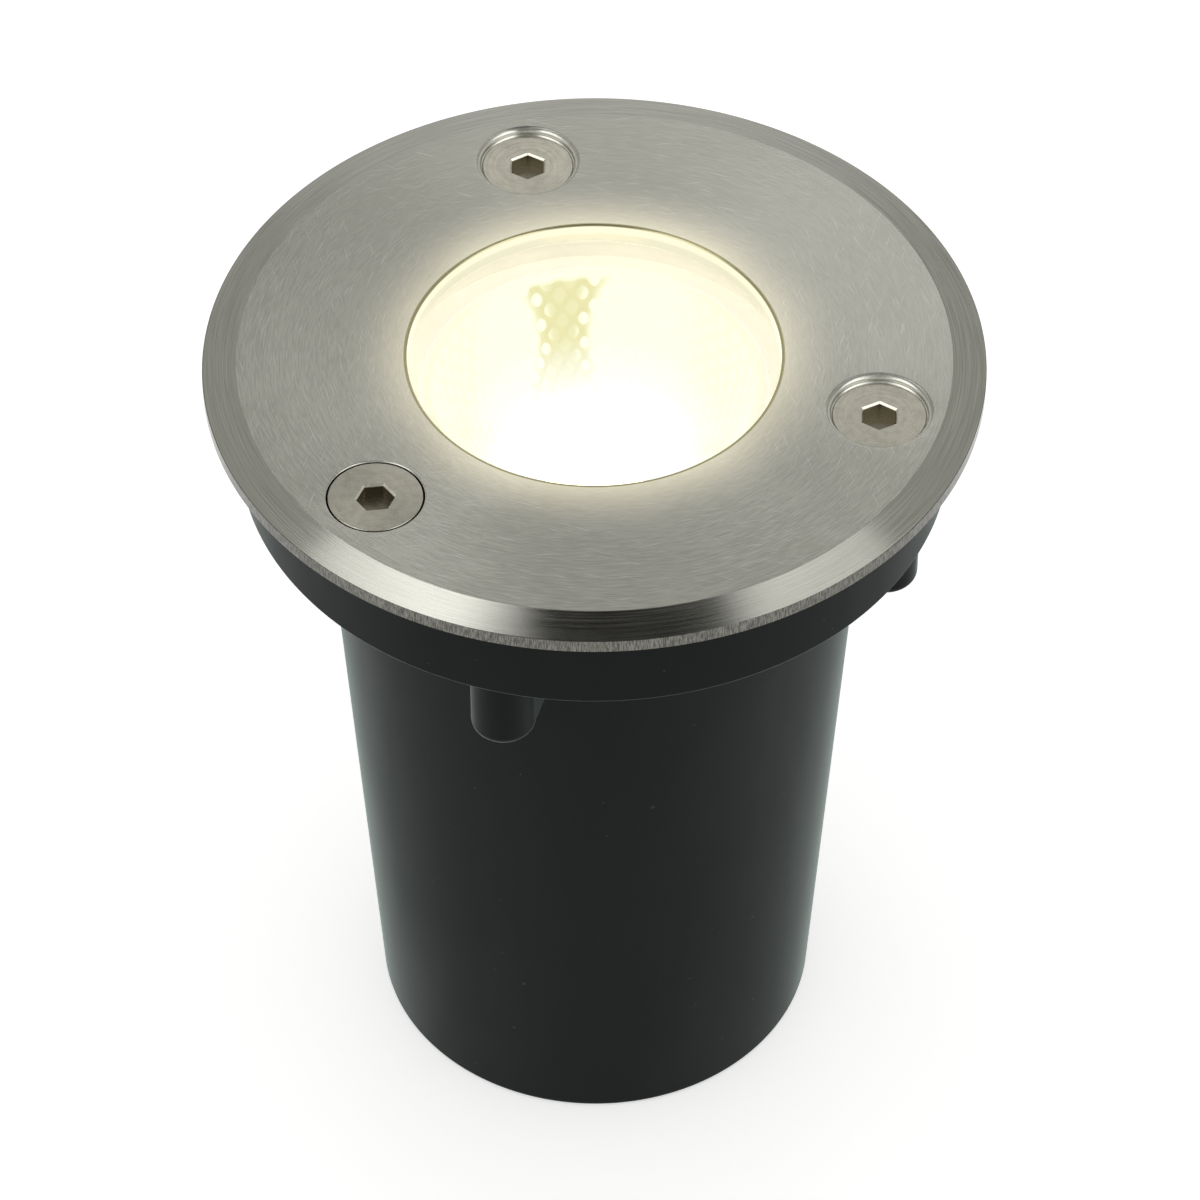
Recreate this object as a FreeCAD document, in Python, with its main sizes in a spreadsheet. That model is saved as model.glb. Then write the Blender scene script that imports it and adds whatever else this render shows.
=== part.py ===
import FreeCAD, Part
import Sketcher
import math
import os

# In-ground well light. A moulded installation sleeve stands in the ground and holds a die-cast
# luminaire by its flange; a stainless bezel closes the luminaire over a toughened glass disc.
# Frame: +Z up, origin at the centre of the sleeve's flat base, millimetres.

doc = FreeCAD.newDocument("InGroundWellLight")
sheet = doc.addObject("Spreadsheet::Sheet", "Dims")
V = FreeCAD.Vector

SCREW_COUNT = 3
PEG_COUNT = 4
# ---- overall and bezel
overall_height = 127.0
bezel_overhang = 4.5
bezel_thickness = 3.0
bezel_bevel_width = 4.75
bezel_bevel_drop = 1.0
window_radius = 26.25
window_chamfer = 0.3
# ---- cover screws, M6 countersunk with a hexagon socket
screw_inset = 6.2
screw_azimuth = 103.5
screw_length = 10.0
screw_radius = 2.95
screw_head_radius = 6.4
screw_head_land = 0.2
screw_tip_chamfer = 0.6
screw_recess = 1.0
loose_screw_recess = 0.1
screw_recess_radius = 6.85
screw_seat_clearance = 0.15
socket_across_flats = 4.0
socket_depth = 2.5
socket_mouth_chamfer = 0.5
thread_clearance = 0.05
thread_mouth_radius = 4.4
thread_floor = 2.0
# ---- installation sleeve
sleeve_draft = 6.5
can_gap = 5.3
sleeve_wall = 2.5
sleeve_floor = 3.0
sleeve_edge_fillet = 1.0
collar_overhang = 11.2
collar_height = 14.8
skirt_wall = 2.5
skirt_edge_chamfer = 0.4
shelf_thickness = 2.5
rim_gap = 0.3
cable_hole_radius = 12.0
# ---- pegs of the luminaire in the blind bosses of the sleeve
boss_inset = 0.35
boss_azimuth = 343.0
boss_radius = 4.55
boss_depth = 13.9
boss_edge_fillet = 1.5
boss_floor = 2.5
peg_radius = 2.2
peg_clearance = 0.4
peg_length = 12.5
peg_collar_radius = 4.0
# ---- luminaire housing
flange_side_clearance = 0.5
flange_gasket_thickness = 1.0
flange_gasket_inset = 1.2
flange_plate = 5.0
flange_rim_wall = 2.5
flange_top_gap = 0.7
screw_boss_radius = 5.4
lamp_side_space = 4.0
can_draft = 1.5
can_wall = 2.5
seat_collar_wall = 2.5
seat_collar_height = 3.0
seat_collar_slope = 2.0
can_floor = 3.0
can_edge_chamfer = 1.0
# ---- glass and its seals
glass_seat_width = 4.0
glass_thickness = 4.0
glass_edge_chamfer = 0.5
glass_side_clearance = 0.5
upper_seal_thickness = 0.5
upper_seal_width = 3.4
lower_seal_thickness = 0.8
lower_seal_width = 2.8
# ---- lamp and its centring ring
lamp_radius = 25.0
lamp_rim_gap = 0.4
lamp_rim_height = 4.6
lamp_length = 48.0
lamp_neck_radius = 15.5
lamp_neck_height = 6.0
lamp_base_radius = 12.0
lamp_base_height = 4.0
lamp_rim_wall = 1.2
reflector_depth = 19.0
reflector_wall = 0.8
reflector_throat_radius = 8.0
reflector_lip = 0.6
led_radius = 7.0
led_thickness = 1.2
ring_height = 3.0
ring_clearance = 0.3
ring_wall_clearance = 0.1
ring_drop = 6.0
ring_ledge = 0.6
# ---- bayonet pins and lampholder
pin_spacing = 10.0
pin_neck_radius = 1.5
pin_neck_length = 4.1
pin_head_radius = 2.5
pin_head_length = 2.4
pin_clearance = 0.35
channel_relief = 0.12
bayonet_turn = 45.0
holder_gap = 0.5
holder_radius = 15.0
holder_height = 17.5
holder_screw_offset = 11.4
small_screw_radius = 1.5
small_screw_clearance = 0.1
screw_sink_clearance = 0.2
small_screw_head_radius = 2.7
small_screw_head = 2.2
small_screw_tip = 1.4
holder_screw_sink = 11.5
contact_radius = 2.2
contact_length = 9.0
contact_gap = 0.3
# ---- bracket and terminal block
bracket_sheet = 1.5
bracket_length = 44.0
bracket_width = 30.0
bracket_leg_width = 14.0
bracket_foot = 8.0
wiring_space = 13.1
foot_screw_inset = 4.2
foot_screw_sink = 1.8
block_length = 20.0
block_depth = 10.0
block_height = 9.0
block_floor_gap = 0.8
block_wall_gap = 0.6
block_pitch = 5.0
tab_width = 20.0
block_screw_radius = 1.6
block_screw_length = 3.5
block_screw_proud = 0.5
wire_radius = 0.8
wire_clearance = 0.1
wire_entry_height = 3.4
wire_tail = 3.0
# ---- earth point on the floor of the can
earth_x = 17.0
earth_y = 12.0
earth_ring_radius = 3.4
earth_ring_thickness = 0.8
earth_barrel_offset = 4.4
earth_barrel_radius = 1.5
earth_barrel_height = 5.0
earth_tongue_width = 2.4
earth_lead_rise = 12.0
earth_lead_swing = 4.5
earth_lead_arch = 4.0
# ---- cable gland in the floor of the can
gland_thread_radius = 8.0
gland_hex_flats = 20.0
gland_hex_height = 4.0
gland_barrel_radius = 7.5
gland_barrel_length = 7.0
gland_washer_radius = 10.8
gland_washer_thickness = 1.0
gland_nut_flats = 22.0
gland_nut_height = 4.5
gland_thread_proud = 0.8
gland_bore_radius = 4.5
gland_pocket_radius = 6.4
gland_seal_length = 6.0
cable_radius = 4.0
cap_radius = 10.5
cap_wall_clearance = 0.1
cap_length = 9.0
cap_edge_chamfer = 1.0
cap_end_wall = 2.5

# every size goes into the sheet under its own name
sizes = dict(
    overall_height=overall_height, bezel_overhang=bezel_overhang, bezel_thickness=bezel_thickness,
    bezel_bevel_width=bezel_bevel_width, bezel_bevel_drop=bezel_bevel_drop,
    window_radius=window_radius, window_chamfer=window_chamfer, screw_inset=screw_inset,
    screw_azimuth=screw_azimuth, screw_length=screw_length, screw_radius=screw_radius,
    screw_head_radius=screw_head_radius, screw_head_land=screw_head_land,
    screw_tip_chamfer=screw_tip_chamfer, screw_recess=screw_recess,
    loose_screw_recess=loose_screw_recess, screw_recess_radius=screw_recess_radius,
    screw_seat_clearance=screw_seat_clearance, socket_across_flats=socket_across_flats,
    socket_depth=socket_depth, socket_mouth_chamfer=socket_mouth_chamfer,
    thread_clearance=thread_clearance, thread_mouth_radius=thread_mouth_radius,
    thread_floor=thread_floor, sleeve_draft=sleeve_draft, can_gap=can_gap, sleeve_wall=sleeve_wall,
    sleeve_floor=sleeve_floor, sleeve_edge_fillet=sleeve_edge_fillet,
    collar_overhang=collar_overhang, collar_height=collar_height, skirt_wall=skirt_wall,
    skirt_edge_chamfer=skirt_edge_chamfer, shelf_thickness=shelf_thickness, rim_gap=rim_gap,
    cable_hole_radius=cable_hole_radius, boss_inset=boss_inset, boss_azimuth=boss_azimuth,
    boss_radius=boss_radius, boss_depth=boss_depth, boss_edge_fillet=boss_edge_fillet,
    boss_floor=boss_floor, peg_radius=peg_radius, peg_clearance=peg_clearance,
    peg_length=peg_length, peg_collar_radius=peg_collar_radius,
    flange_side_clearance=flange_side_clearance, flange_gasket_thickness=flange_gasket_thickness,
    flange_gasket_inset=flange_gasket_inset, flange_plate=flange_plate,
    flange_rim_wall=flange_rim_wall, flange_top_gap=flange_top_gap,
    screw_boss_radius=screw_boss_radius, lamp_side_space=lamp_side_space, can_draft=can_draft,
    can_wall=can_wall, seat_collar_wall=seat_collar_wall, seat_collar_height=seat_collar_height,
    seat_collar_slope=seat_collar_slope, can_floor=can_floor,
    can_edge_chamfer=can_edge_chamfer, glass_seat_width=glass_seat_width,
    glass_thickness=glass_thickness, glass_edge_chamfer=glass_edge_chamfer,
    glass_side_clearance=glass_side_clearance, upper_seal_thickness=upper_seal_thickness,
    upper_seal_width=upper_seal_width, lower_seal_thickness=lower_seal_thickness,
    lower_seal_width=lower_seal_width, lamp_radius=lamp_radius, lamp_rim_gap=lamp_rim_gap,
    lamp_rim_height=lamp_rim_height, lamp_length=lamp_length, lamp_neck_radius=lamp_neck_radius,
    lamp_neck_height=lamp_neck_height, lamp_base_radius=lamp_base_radius,
    lamp_base_height=lamp_base_height, lamp_rim_wall=lamp_rim_wall, reflector_depth=reflector_depth,
    reflector_wall=reflector_wall, reflector_throat_radius=reflector_throat_radius,
    reflector_lip=reflector_lip, led_radius=led_radius, led_thickness=led_thickness,
    ring_height=ring_height, ring_clearance=ring_clearance, ring_wall_clearance=ring_wall_clearance,
    ring_drop=ring_drop, ring_ledge=ring_ledge, pin_spacing=pin_spacing,
    pin_neck_radius=pin_neck_radius, pin_neck_length=pin_neck_length,
    pin_head_radius=pin_head_radius, pin_head_length=pin_head_length, pin_clearance=pin_clearance,
    channel_relief=channel_relief, bayonet_turn=bayonet_turn, holder_gap=holder_gap,
    holder_radius=holder_radius, holder_height=holder_height,
    holder_screw_offset=holder_screw_offset, small_screw_radius=small_screw_radius,
    small_screw_clearance=small_screw_clearance, screw_sink_clearance=screw_sink_clearance,
    small_screw_head_radius=small_screw_head_radius, small_screw_head=small_screw_head,
    small_screw_tip=small_screw_tip, holder_screw_sink=holder_screw_sink,
    contact_radius=contact_radius, contact_length=contact_length, contact_gap=contact_gap,
    bracket_sheet=bracket_sheet, bracket_length=bracket_length, bracket_width=bracket_width,
    bracket_leg_width=bracket_leg_width, bracket_foot=bracket_foot, wiring_space=wiring_space,
    foot_screw_inset=foot_screw_inset, foot_screw_sink=foot_screw_sink, block_length=block_length,
    block_depth=block_depth, block_height=block_height, block_floor_gap=block_floor_gap,
    block_wall_gap=block_wall_gap, block_pitch=block_pitch, tab_width=tab_width,
    block_screw_radius=block_screw_radius,
    block_screw_length=block_screw_length, block_screw_proud=block_screw_proud,
    wire_radius=wire_radius, wire_clearance=wire_clearance, wire_entry_height=wire_entry_height,
    wire_tail=wire_tail, earth_x=earth_x, earth_y=earth_y, earth_ring_radius=earth_ring_radius,
    earth_ring_thickness=earth_ring_thickness, earth_barrel_offset=earth_barrel_offset,
    earth_barrel_radius=earth_barrel_radius, earth_barrel_height=earth_barrel_height,
    earth_tongue_width=earth_tongue_width, earth_lead_rise=earth_lead_rise,
    earth_lead_swing=earth_lead_swing, earth_lead_arch=earth_lead_arch,
    gland_thread_radius=gland_thread_radius, gland_hex_flats=gland_hex_flats,
    gland_hex_height=gland_hex_height, gland_barrel_radius=gland_barrel_radius,
    gland_barrel_length=gland_barrel_length, gland_washer_radius=gland_washer_radius,
    gland_washer_thickness=gland_washer_thickness, gland_nut_flats=gland_nut_flats,
    gland_nut_height=gland_nut_height, gland_thread_proud=gland_thread_proud,
    gland_bore_radius=gland_bore_radius, gland_pocket_radius=gland_pocket_radius,
    gland_seal_length=gland_seal_length, cable_radius=cable_radius, cap_radius=cap_radius,
    cap_wall_clearance=cap_wall_clearance, cap_length=cap_length, cap_edge_chamfer=cap_edge_chamfer,
    cap_end_wall=cap_end_wall)
for row, (name, value) in enumerate(sizes.items(), 1):
    sheet.set("A%d" % row, name)
    sheet.set("B%d" % row, str(value))
    sheet.setAlias("B%d" % row, name)
doc.recompute()


def val(expression):
    """Present value of an expression over the sheet."""
    found = sheet.evalExpression(expression)
    return float(getattr(found, "Value", found))


# ---- levels that follow from the sizes
CAN_TOP_R = "(Dims.lamp_radius + Dims.lamp_side_space + Dims.can_wall)"
SLEEVE_TOP_R = "(%s + Dims.can_gap + Dims.sleeve_wall)" % CAN_TOP_R
SLEEVE_BASE_R = "(%s - Dims.sleeve_draft)" % SLEEVE_TOP_R
SKIRT_R = "(%s + Dims.collar_overhang)" % SLEEVE_TOP_R
BEZEL_R = "(%s + Dims.bezel_overhang)" % SKIRT_R
CAN_BOTTOM_R = "(%s - Dims.can_draft)" % CAN_TOP_R

BEZEL_UNDER = "(Dims.overall_height - Dims.bezel_thickness)"
RIM_TOP = "(%s - Dims.rim_gap)" % BEZEL_UNDER
SKIRT_BOTTOM = "(%s - Dims.collar_height)" % BEZEL_UNDER
SHELF_TOP = "(%s + Dims.shelf_thickness)" % SKIRT_BOTTOM
SKIRT_INNER = "(%s - Dims.skirt_wall)" % SKIRT_R
TAPER = "((%s - %s) / %s)" % (SLEEVE_TOP_R, SLEEVE_BASE_R, SKIRT_BOTTOM)
FLANGE_UNDER = "(%s + Dims.flange_gasket_thickness)" % SHELF_TOP
FLANGE_TOP = "(%s - Dims.flange_top_gap)" % BEZEL_UNDER
PLATE_UNDER = "(%s - Dims.flange_plate)" % FLANGE_TOP
FLANGE_R = "(%s - Dims.flange_side_clearance)" % SKIRT_INNER
SCREW_CIRCLE_R = "(%s - Dims.screw_inset)" % FLANGE_R
BOSS_CIRCLE_R = "((%s + %s) / 2 - Dims.boss_inset)" % (SLEEVE_TOP_R, SKIRT_INNER)
GASKET_IN_R = "(%s - Dims.sleeve_wall + Dims.flange_gasket_inset)" % SLEEVE_TOP_R
GLASS_TOP = "(%s - Dims.upper_seal_thickness)" % BEZEL_UNDER
GLASS_UNDER = "(%s - Dims.glass_thickness)" % GLASS_TOP
SEAT = "(%s - Dims.lower_seal_thickness)" % GLASS_UNDER
CAN_IN_TOP = "(%s - Dims.can_wall)" % CAN_TOP_R
CAN_IN_BOTTOM = "(%s - Dims.can_wall)" % CAN_BOTTOM_R
GLASS_R = "(%s + Dims.glass_seat_width)" % CAN_IN_TOP
SEAT_COLLAR_R = "(%s + Dims.glass_side_clearance + Dims.seat_collar_wall)" % GLASS_R
LAMP_RIM = "(%s - Dims.lamp_rim_gap)" % GLASS_UNDER
LAMP_FOOT = "(%s - Dims.lamp_length)" % LAMP_RIM
LAMP_NECK = "(%s + Dims.lamp_base_height)" % LAMP_FOOT
BOWL_FLOOR = "(%s - Dims.reflector_depth)" % LAMP_RIM
BOWL_R = "(Dims.lamp_radius - Dims.lamp_rim_wall - Dims.reflector_wall)"
RING_UNDER = "(%s - Dims.ring_drop)" % LAMP_RIM
PIN_END = "(%s - Dims.pin_neck_length - Dims.pin_head_length)" % LAMP_FOOT
HEAD_TOP = "(%s - Dims.pin_neck_length)" % LAMP_FOOT
HOLDER_TOP = "(%s - Dims.holder_gap)" % LAMP_FOOT
HOLDER_UNDER = "(%s - Dims.holder_height)" % HOLDER_TOP
CONTACT_TOP = "(%s - Dims.contact_gap)" % PIN_END
BRACKET_UNDER = "(%s - Dims.bracket_sheet)" % HOLDER_UNDER
CAN_FLOOR_TOP = "(%s - Dims.wiring_space)" % BRACKET_UNDER
CAN_BOTTOM = "(%s - Dims.can_floor)" % CAN_FLOOR_TOP
SINK_FLOOR = "(%s - Dims.holder_screw_sink)" % HOLDER_TOP
FOOT_SCREW_X = "(Dims.bracket_length / 2 - Dims.foot_screw_inset)"
BLOCK_UNDER = "(%s + Dims.block_floor_gap)" % CAN_FLOOR_TOP
BLOCK_TOP = "(%s + Dims.block_height)" % BLOCK_UNDER
BLOCK_CORNER_R = "(%s - Dims.block_wall_gap)" % CAN_IN_BOTTOM
TAB_Y = "(sqrt(%s ^ 2 - (Dims.block_length / 2) ^ 2) - Dims.block_depth)" % BLOCK_CORNER_R
BLOCK_MID_Y = "(%s + Dims.block_depth / 2)" % TAB_Y
WIRE_ENTRY = "(%s + Dims.wire_entry_height)" % HOLDER_UNDER
HEX_TOP = "(%s - Dims.gland_washer_thickness)" % CAN_BOTTOM
HEX_UNDER = "(%s - Dims.gland_hex_height)" % HEX_TOP
BARREL_END = "(%s - Dims.gland_barrel_length)" % HEX_UNDER
NUT_TOP = "(%s + Dims.gland_nut_height)" % CAN_FLOOR_TOP
CAP_UNDER = "(%s - Dims.cap_end_wall)" % BARREL_END
SCREW_TOP = "(Dims.overall_height - Dims.screw_recess)"
THREAD_R = "(Dims.screw_radius + Dims.thread_clearance)"
THREAD_END = "(%s + Dims.thread_floor)" % FLANGE_UNDER


def plane(body, role):
    return [o for o in body.Origin.OriginFeatures if o.Role == role][0]


def sketch(body, name, role, height=None):
    """Empty sketch on an origin plane of its own body, lifted along Z by height."""
    sk = body.newObject("Sketcher::SketchObject", name)
    sk.AttachmentSupport = [(plane(body, role), "")]
    sk.MapMode = "FlatFace"
    if height:
        sk.setExpression("AttachmentOffset.Base.z", height)
    return sk


def outline(sk, points):
    """Closed outline of straight lines; each corner is bound to its pair of expressions."""
    spots = [V(val(a), val(b), 0) for a, b in points]
    first = sk.GeometryCount
    for i, spot in enumerate(spots):
        sk.addGeometry(Part.LineSegment(spot, spots[(i + 1) % len(spots)]), False)
    last = first + len(spots) - 1
    for i in range(first, last):
        sk.addConstraint(Sketcher.Constraint("Coincident", i, 2, i + 1, 1))
    sk.addConstraint(Sketcher.Constraint("Coincident", last, 2, first, 1))
    for i, (a, b) in enumerate(points):
        n = sk.addConstraint(Sketcher.Constraint("DistanceX", -1, 1, first + i, 1, spots[i].x))
        sk.setExpression("Constraints[%d]" % n, a)
        n = sk.addConstraint(Sketcher.Constraint("DistanceY", -1, 1, first + i, 1, spots[i].y))
        sk.setExpression("Constraints[%d]" % n, b)


def ring(sk, x, y, radius):
    """Circle with its centre and radius bound to expressions."""
    n = sk.addGeometry(Part.Circle(V(val(x), val(y), 0), V(0, 0, 1), val(radius)), False)
    for kind, expression in (("DistanceX", x), ("DistanceY", y)):
        c = sk.addConstraint(Sketcher.Constraint(kind, -1, 1, n, 3, val(expression)))
        sk.setExpression("Constraints[%d]" % c, expression)
    c = sk.addConstraint(Sketcher.Constraint("Radius", n, val(radius)))
    sk.setExpression("Constraints[%d]" % c, radius)


def polar(radius, azimuth):
    return "(%s) * cos((%s) * 1 deg)" % (radius, azimuth), "(%s) * sin((%s) * 1 deg)" % (radius, azimuth)


def hexagon(sk, flats, turn="0"):
    corners = ["%s + %d" % (turn, 60 * k) for k in range(6)]
    outline(sk, [polar("(%s) / 2 / cos(30 deg)" % flats, a) for a in corners])


def turned(label, points):
    """Body of revolution about Z from an outline of (radius, height) pairs."""
    body = doc.addObject("PartDesign::Body", label)
    sk = sketch(body, label + "_profile", "XZ_Plane")
    outline(sk, points)
    turn = body.newObject("PartDesign::Revolution", label + "_turn")
    turn.Profile = sk
    turn.ReferenceAxis = (sk, ["V_Axis"])
    turn.Angle = 360
    sk.Visibility = False
    doc.recompute()
    return body


def pad(body, sk, name, length, down=False):
    feature = body.newObject("PartDesign::Pad", name)
    feature.Profile = sk
    feature.Reversed = down
    feature.setExpression("Length", length)
    doc.recompute()
    return feature


def pocket(body, sk, name, depth, up=False):
    """Pocket that must take material away; up turns it toward +Z."""
    before = body.Shape.Volume
    feature = body.newObject("PartDesign::Pocket", name)
    feature.Profile = sk
    feature.Reversed = up
    feature.setExpression("Length", depth)
    doc.recompute()
    if body.Shape.Volume > before - 1e-6:
        raise RuntimeError("pocket %s takes nothing away" % name)
    return feature


def around(body, features, name, count):
    pattern = body.newObject("PartDesign::PolarPattern", name)
    pattern.Originals = features
    pattern.Axis = (plane(body, "Z_Axis"), [""])
    pattern.Angle = 360
    pattern.Occurrences = count
    body.Tip = pattern
    doc.recompute()
    return pattern


def circles_at(body, radius, height):
    """Names of the circular edges about Z with this radius at this height."""
    names = []
    for i, edge in enumerate(body.Shape.Edges):
        if edge.Curve.TypeId != "Part::GeomCircle":
            continue
        centre = edge.Curve.Center
        if abs(edge.Curve.Radius - radius) < 1e-4 and abs(centre.z - height) < 1e-4:
            names.append("Edge%d" % (i + 1))
    return names


def rounded(body, edges, name, radius):
    tip = body.Tip
    feature = body.newObject("PartDesign::Fillet", name)
    feature.Base = (tip, edges)
    feature.setExpression("Radius", radius)
    doc.recompute()
    return feature


def installation_sleeve():
    """Tapered tube with a wide collar, a shelf for the flange and blind bosses under the collar."""
    top_in = "(%s - Dims.sleeve_wall)" % SLEEVE_TOP_R
    floor_in = "(%s + Dims.sleeve_floor * %s - Dims.sleeve_wall)" % (SLEEVE_BASE_R, TAPER)
    body = turned("installation_sleeve", [
        ("Dims.cable_hole_radius", "0"),
        (SLEEVE_BASE_R, "0"),
        (SLEEVE_TOP_R, SKIRT_BOTTOM),
        ((SKIRT_R + " - Dims.skirt_edge_chamfer"), SKIRT_BOTTOM),
        (SKIRT_R, SKIRT_BOTTOM + " + Dims.skirt_edge_chamfer"),
        (SKIRT_R, RIM_TOP),
        (SKIRT_INNER, RIM_TOP),
        (SKIRT_INNER, SHELF_TOP),
        (top_in, SHELF_TOP),
        (floor_in, "Dims.sleeve_floor"),
        ("Dims.cable_hole_radius", "Dims.sleeve_floor")])
    rounded(body, circles_at(body, val(SLEEVE_BASE_R), 0.0),
            "base_edge", "Dims.sleeve_edge_fillet")
    boss_bottom = "(%s - Dims.boss_depth)" % SKIRT_BOTTOM
    x, y = polar(BOSS_CIRCLE_R, "Dims.boss_azimuth")
    sk = sketch(body, "boss_round", "XY_Plane", boss_bottom)
    ring(sk, x, y, "Dims.boss_radius")
    post = pad(body, sk, "boss_post", "Dims.boss_depth + Dims.shelf_thickness / 2")
    foot = rounded(body, [e for e in boss_edges(body, boss_bottom)], "boss_edge",
                   "Dims.boss_edge_fillet")
    web_bottom = "(%s + Dims.boss_edge_fillet)" % boss_bottom
    sk = sketch(body, "boss_web_outline", "XY_Plane", web_bottom)
    web_in = "(%s + 0.4)" % top_in
    corners = []
    for radial, side in ((web_in, "-1"), (BOSS_CIRCLE_R, "-1"),
                         (BOSS_CIRCLE_R, "1"), (web_in, "1")):
        across = "(%s * (Dims.boss_radius - 0.02))" % side
        corners.append((
            "%s * cos(Dims.boss_azimuth * 1 deg) - %s * sin(Dims.boss_azimuth * 1 deg)" % (radial, across),
            "%s * sin(Dims.boss_azimuth * 1 deg) + %s * cos(Dims.boss_azimuth * 1 deg)" % (radial, across)))
    outline(sk, corners)
    web = pad(body, sk, "boss_web", "Dims.boss_depth - Dims.boss_edge_fillet + Dims.shelf_thickness / 2")
    sk = sketch(body, "boss_hole", "XY_Plane", SHELF_TOP)
    ring(sk, x, y, "Dims.peg_radius + Dims.peg_clearance")
    hole = pocket(body, sk, "boss_bore",
                  "%s - %s - Dims.boss_floor" % (SHELF_TOP, boss_bottom))
    around(body, [post, foot, web, hole], "boss_pattern", PEG_COUNT)
    return body


def boss_edges(body, level):
    height = val(level)
    names = []
    for i, edge in enumerate(body.Shape.Edges):
        low = edge.BoundBox.ZMin
        high = edge.BoundBox.ZMax
        centre = edge.BoundBox.Center
        away = math.hypot(centre.x, centre.y) > val(SLEEVE_BASE_R)
        if abs(low - height) < 1e-4 and abs(high - height) < 1e-4 and away:
            names.append("Edge%d" % (i + 1))
    return names



def washer(label, inner, outer, low, high):
    """Flat ring about Z."""
    return turned(label, [(inner, low), (outer, low), (outer, high), (inner, high)])


def lamp_housing():
    """Die-cast can: floor with the gland hole, wall, glass pocket, flange with screw bosses and pegs."""
    pocket_r = "(%s + Dims.glass_side_clearance)" % GLASS_R
    collar_low = "(%s - Dims.seat_collar_height)" % SEAT
    body = turned("lamp_housing", [
        ("Dims.gland_thread_radius + 0.1", CAN_BOTTOM),
        ((CAN_BOTTOM_R + " - Dims.can_edge_chamfer"), CAN_BOTTOM),
        (CAN_BOTTOM_R, (CAN_BOTTOM + " + Dims.can_edge_chamfer")),
        (CAN_TOP_R, "%s - Dims.seat_collar_slope" % collar_low),
        (SEAT_COLLAR_R, collar_low),
        (SEAT_COLLAR_R, PLATE_UNDER),
        ("%s - Dims.flange_rim_wall" % FLANGE_R, PLATE_UNDER),
        ("%s - Dims.flange_rim_wall" % FLANGE_R, FLANGE_UNDER),
        (FLANGE_R, FLANGE_UNDER),
        (FLANGE_R, FLANGE_TOP),
        (pocket_r, FLANGE_TOP),
        (pocket_r, SEAT),
        ("%s + Dims.ring_ledge" % CAN_IN_TOP, SEAT),
        ("%s + Dims.ring_ledge" % CAN_IN_TOP, RING_UNDER),
        (CAN_IN_TOP, RING_UNDER),
        (CAN_IN_BOTTOM, CAN_FLOOR_TOP),
        ("Dims.gland_thread_radius + 0.1", CAN_FLOOR_TOP)])
    drop = "%s - %s + Dims.flange_plate / 2" % (PLATE_UNDER, FLANGE_UNDER)
    x, y = polar(BOSS_CIRCLE_R, "Dims.boss_azimuth")
    sk = sketch(body, "peg_collar_round", "XY_Plane", FLANGE_UNDER)
    ring(sk, x, y, "Dims.peg_collar_radius")
    collar = pad(body, sk, "peg_collar", drop)
    sk = sketch(body, "peg_round", "XY_Plane", FLANGE_UNDER)
    ring(sk, x, y, "Dims.peg_radius")
    peg = pad(body, sk, "peg", "Dims.peg_length", down=True)
    around(body, [collar, peg], "peg_pattern", PEG_COUNT)
    x, y = polar(SCREW_CIRCLE_R, "Dims.screw_azimuth")
    sk = sketch(body, "screw_boss_round", "XY_Plane", FLANGE_UNDER)
    ring(sk, x, y, "Dims.screw_boss_radius")
    boss = pad(body, sk, "screw_boss", drop)
    around(body, [boss], "screw_boss_pattern", SCREW_COUNT)
    sk = sketch(body, "thread_round", "XY_Plane", FLANGE_TOP)
    ring(sk, x, y, THREAD_R)
    thread = pocket(body, sk, "thread_hole", "%s - %s" % (FLANGE_TOP, THREAD_END))
    sk = sketch(body, "thread_mouth_round", "XY_Plane", FLANGE_TOP)
    ring(sk, x, y, "Dims.thread_mouth_radius")
    mouth = pocket(body, sk, "thread_mouth", "Dims.thread_mouth_radius - %s" % THREAD_R)
    mouth.TaperAngle = -45
    doc.recompute()
    around(body, [thread, mouth], "thread_pattern", SCREW_COUNT)
    drill(body, "foot_thread", ((FOOT_SCREW_X, "0"), ("-" + FOOT_SCREW_X, "0")),
          "Dims.small_screw_radius + Dims.small_screw_clearance", CAN_FLOOR_TOP,
          "Dims.foot_screw_sink + 0.2")
    drill(body, "earth_thread", (("-Dims.earth_x", "Dims.earth_y"),),
          "Dims.small_screw_radius + Dims.small_screw_clearance", CAN_FLOOR_TOP,
          "Dims.foot_screw_sink + 0.2")
    return body


def drill(body, name, spots, radius, top, depth):
    """Round holes of one radius going down from the level top."""
    sk = sketch(body, name + "_round", "XY_Plane", top)
    for x, y in spots:
        ring(sk, x, y, radius)
    return pocket(body, sk, name, depth)


def flange_gasket():
    """Flat ring on the shelf of the sleeve, open where the pegs pass."""
    body = washer("flange_gasket", GASKET_IN_R, FLANGE_R, SHELF_TOP, FLANGE_UNDER)
    sk = sketch(body, "peg_opening_round", "XY_Plane", FLANGE_UNDER)
    x, y = polar(BOSS_CIRCLE_R, "Dims.boss_azimuth")
    ring(sk, x, y, "Dims.peg_radius + Dims.peg_clearance")
    hole = pocket(body, sk, "peg_opening", "Dims.flange_gasket_thickness")
    around(body, [hole], "peg_opening_pattern", PEG_COUNT)
    return body


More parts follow.
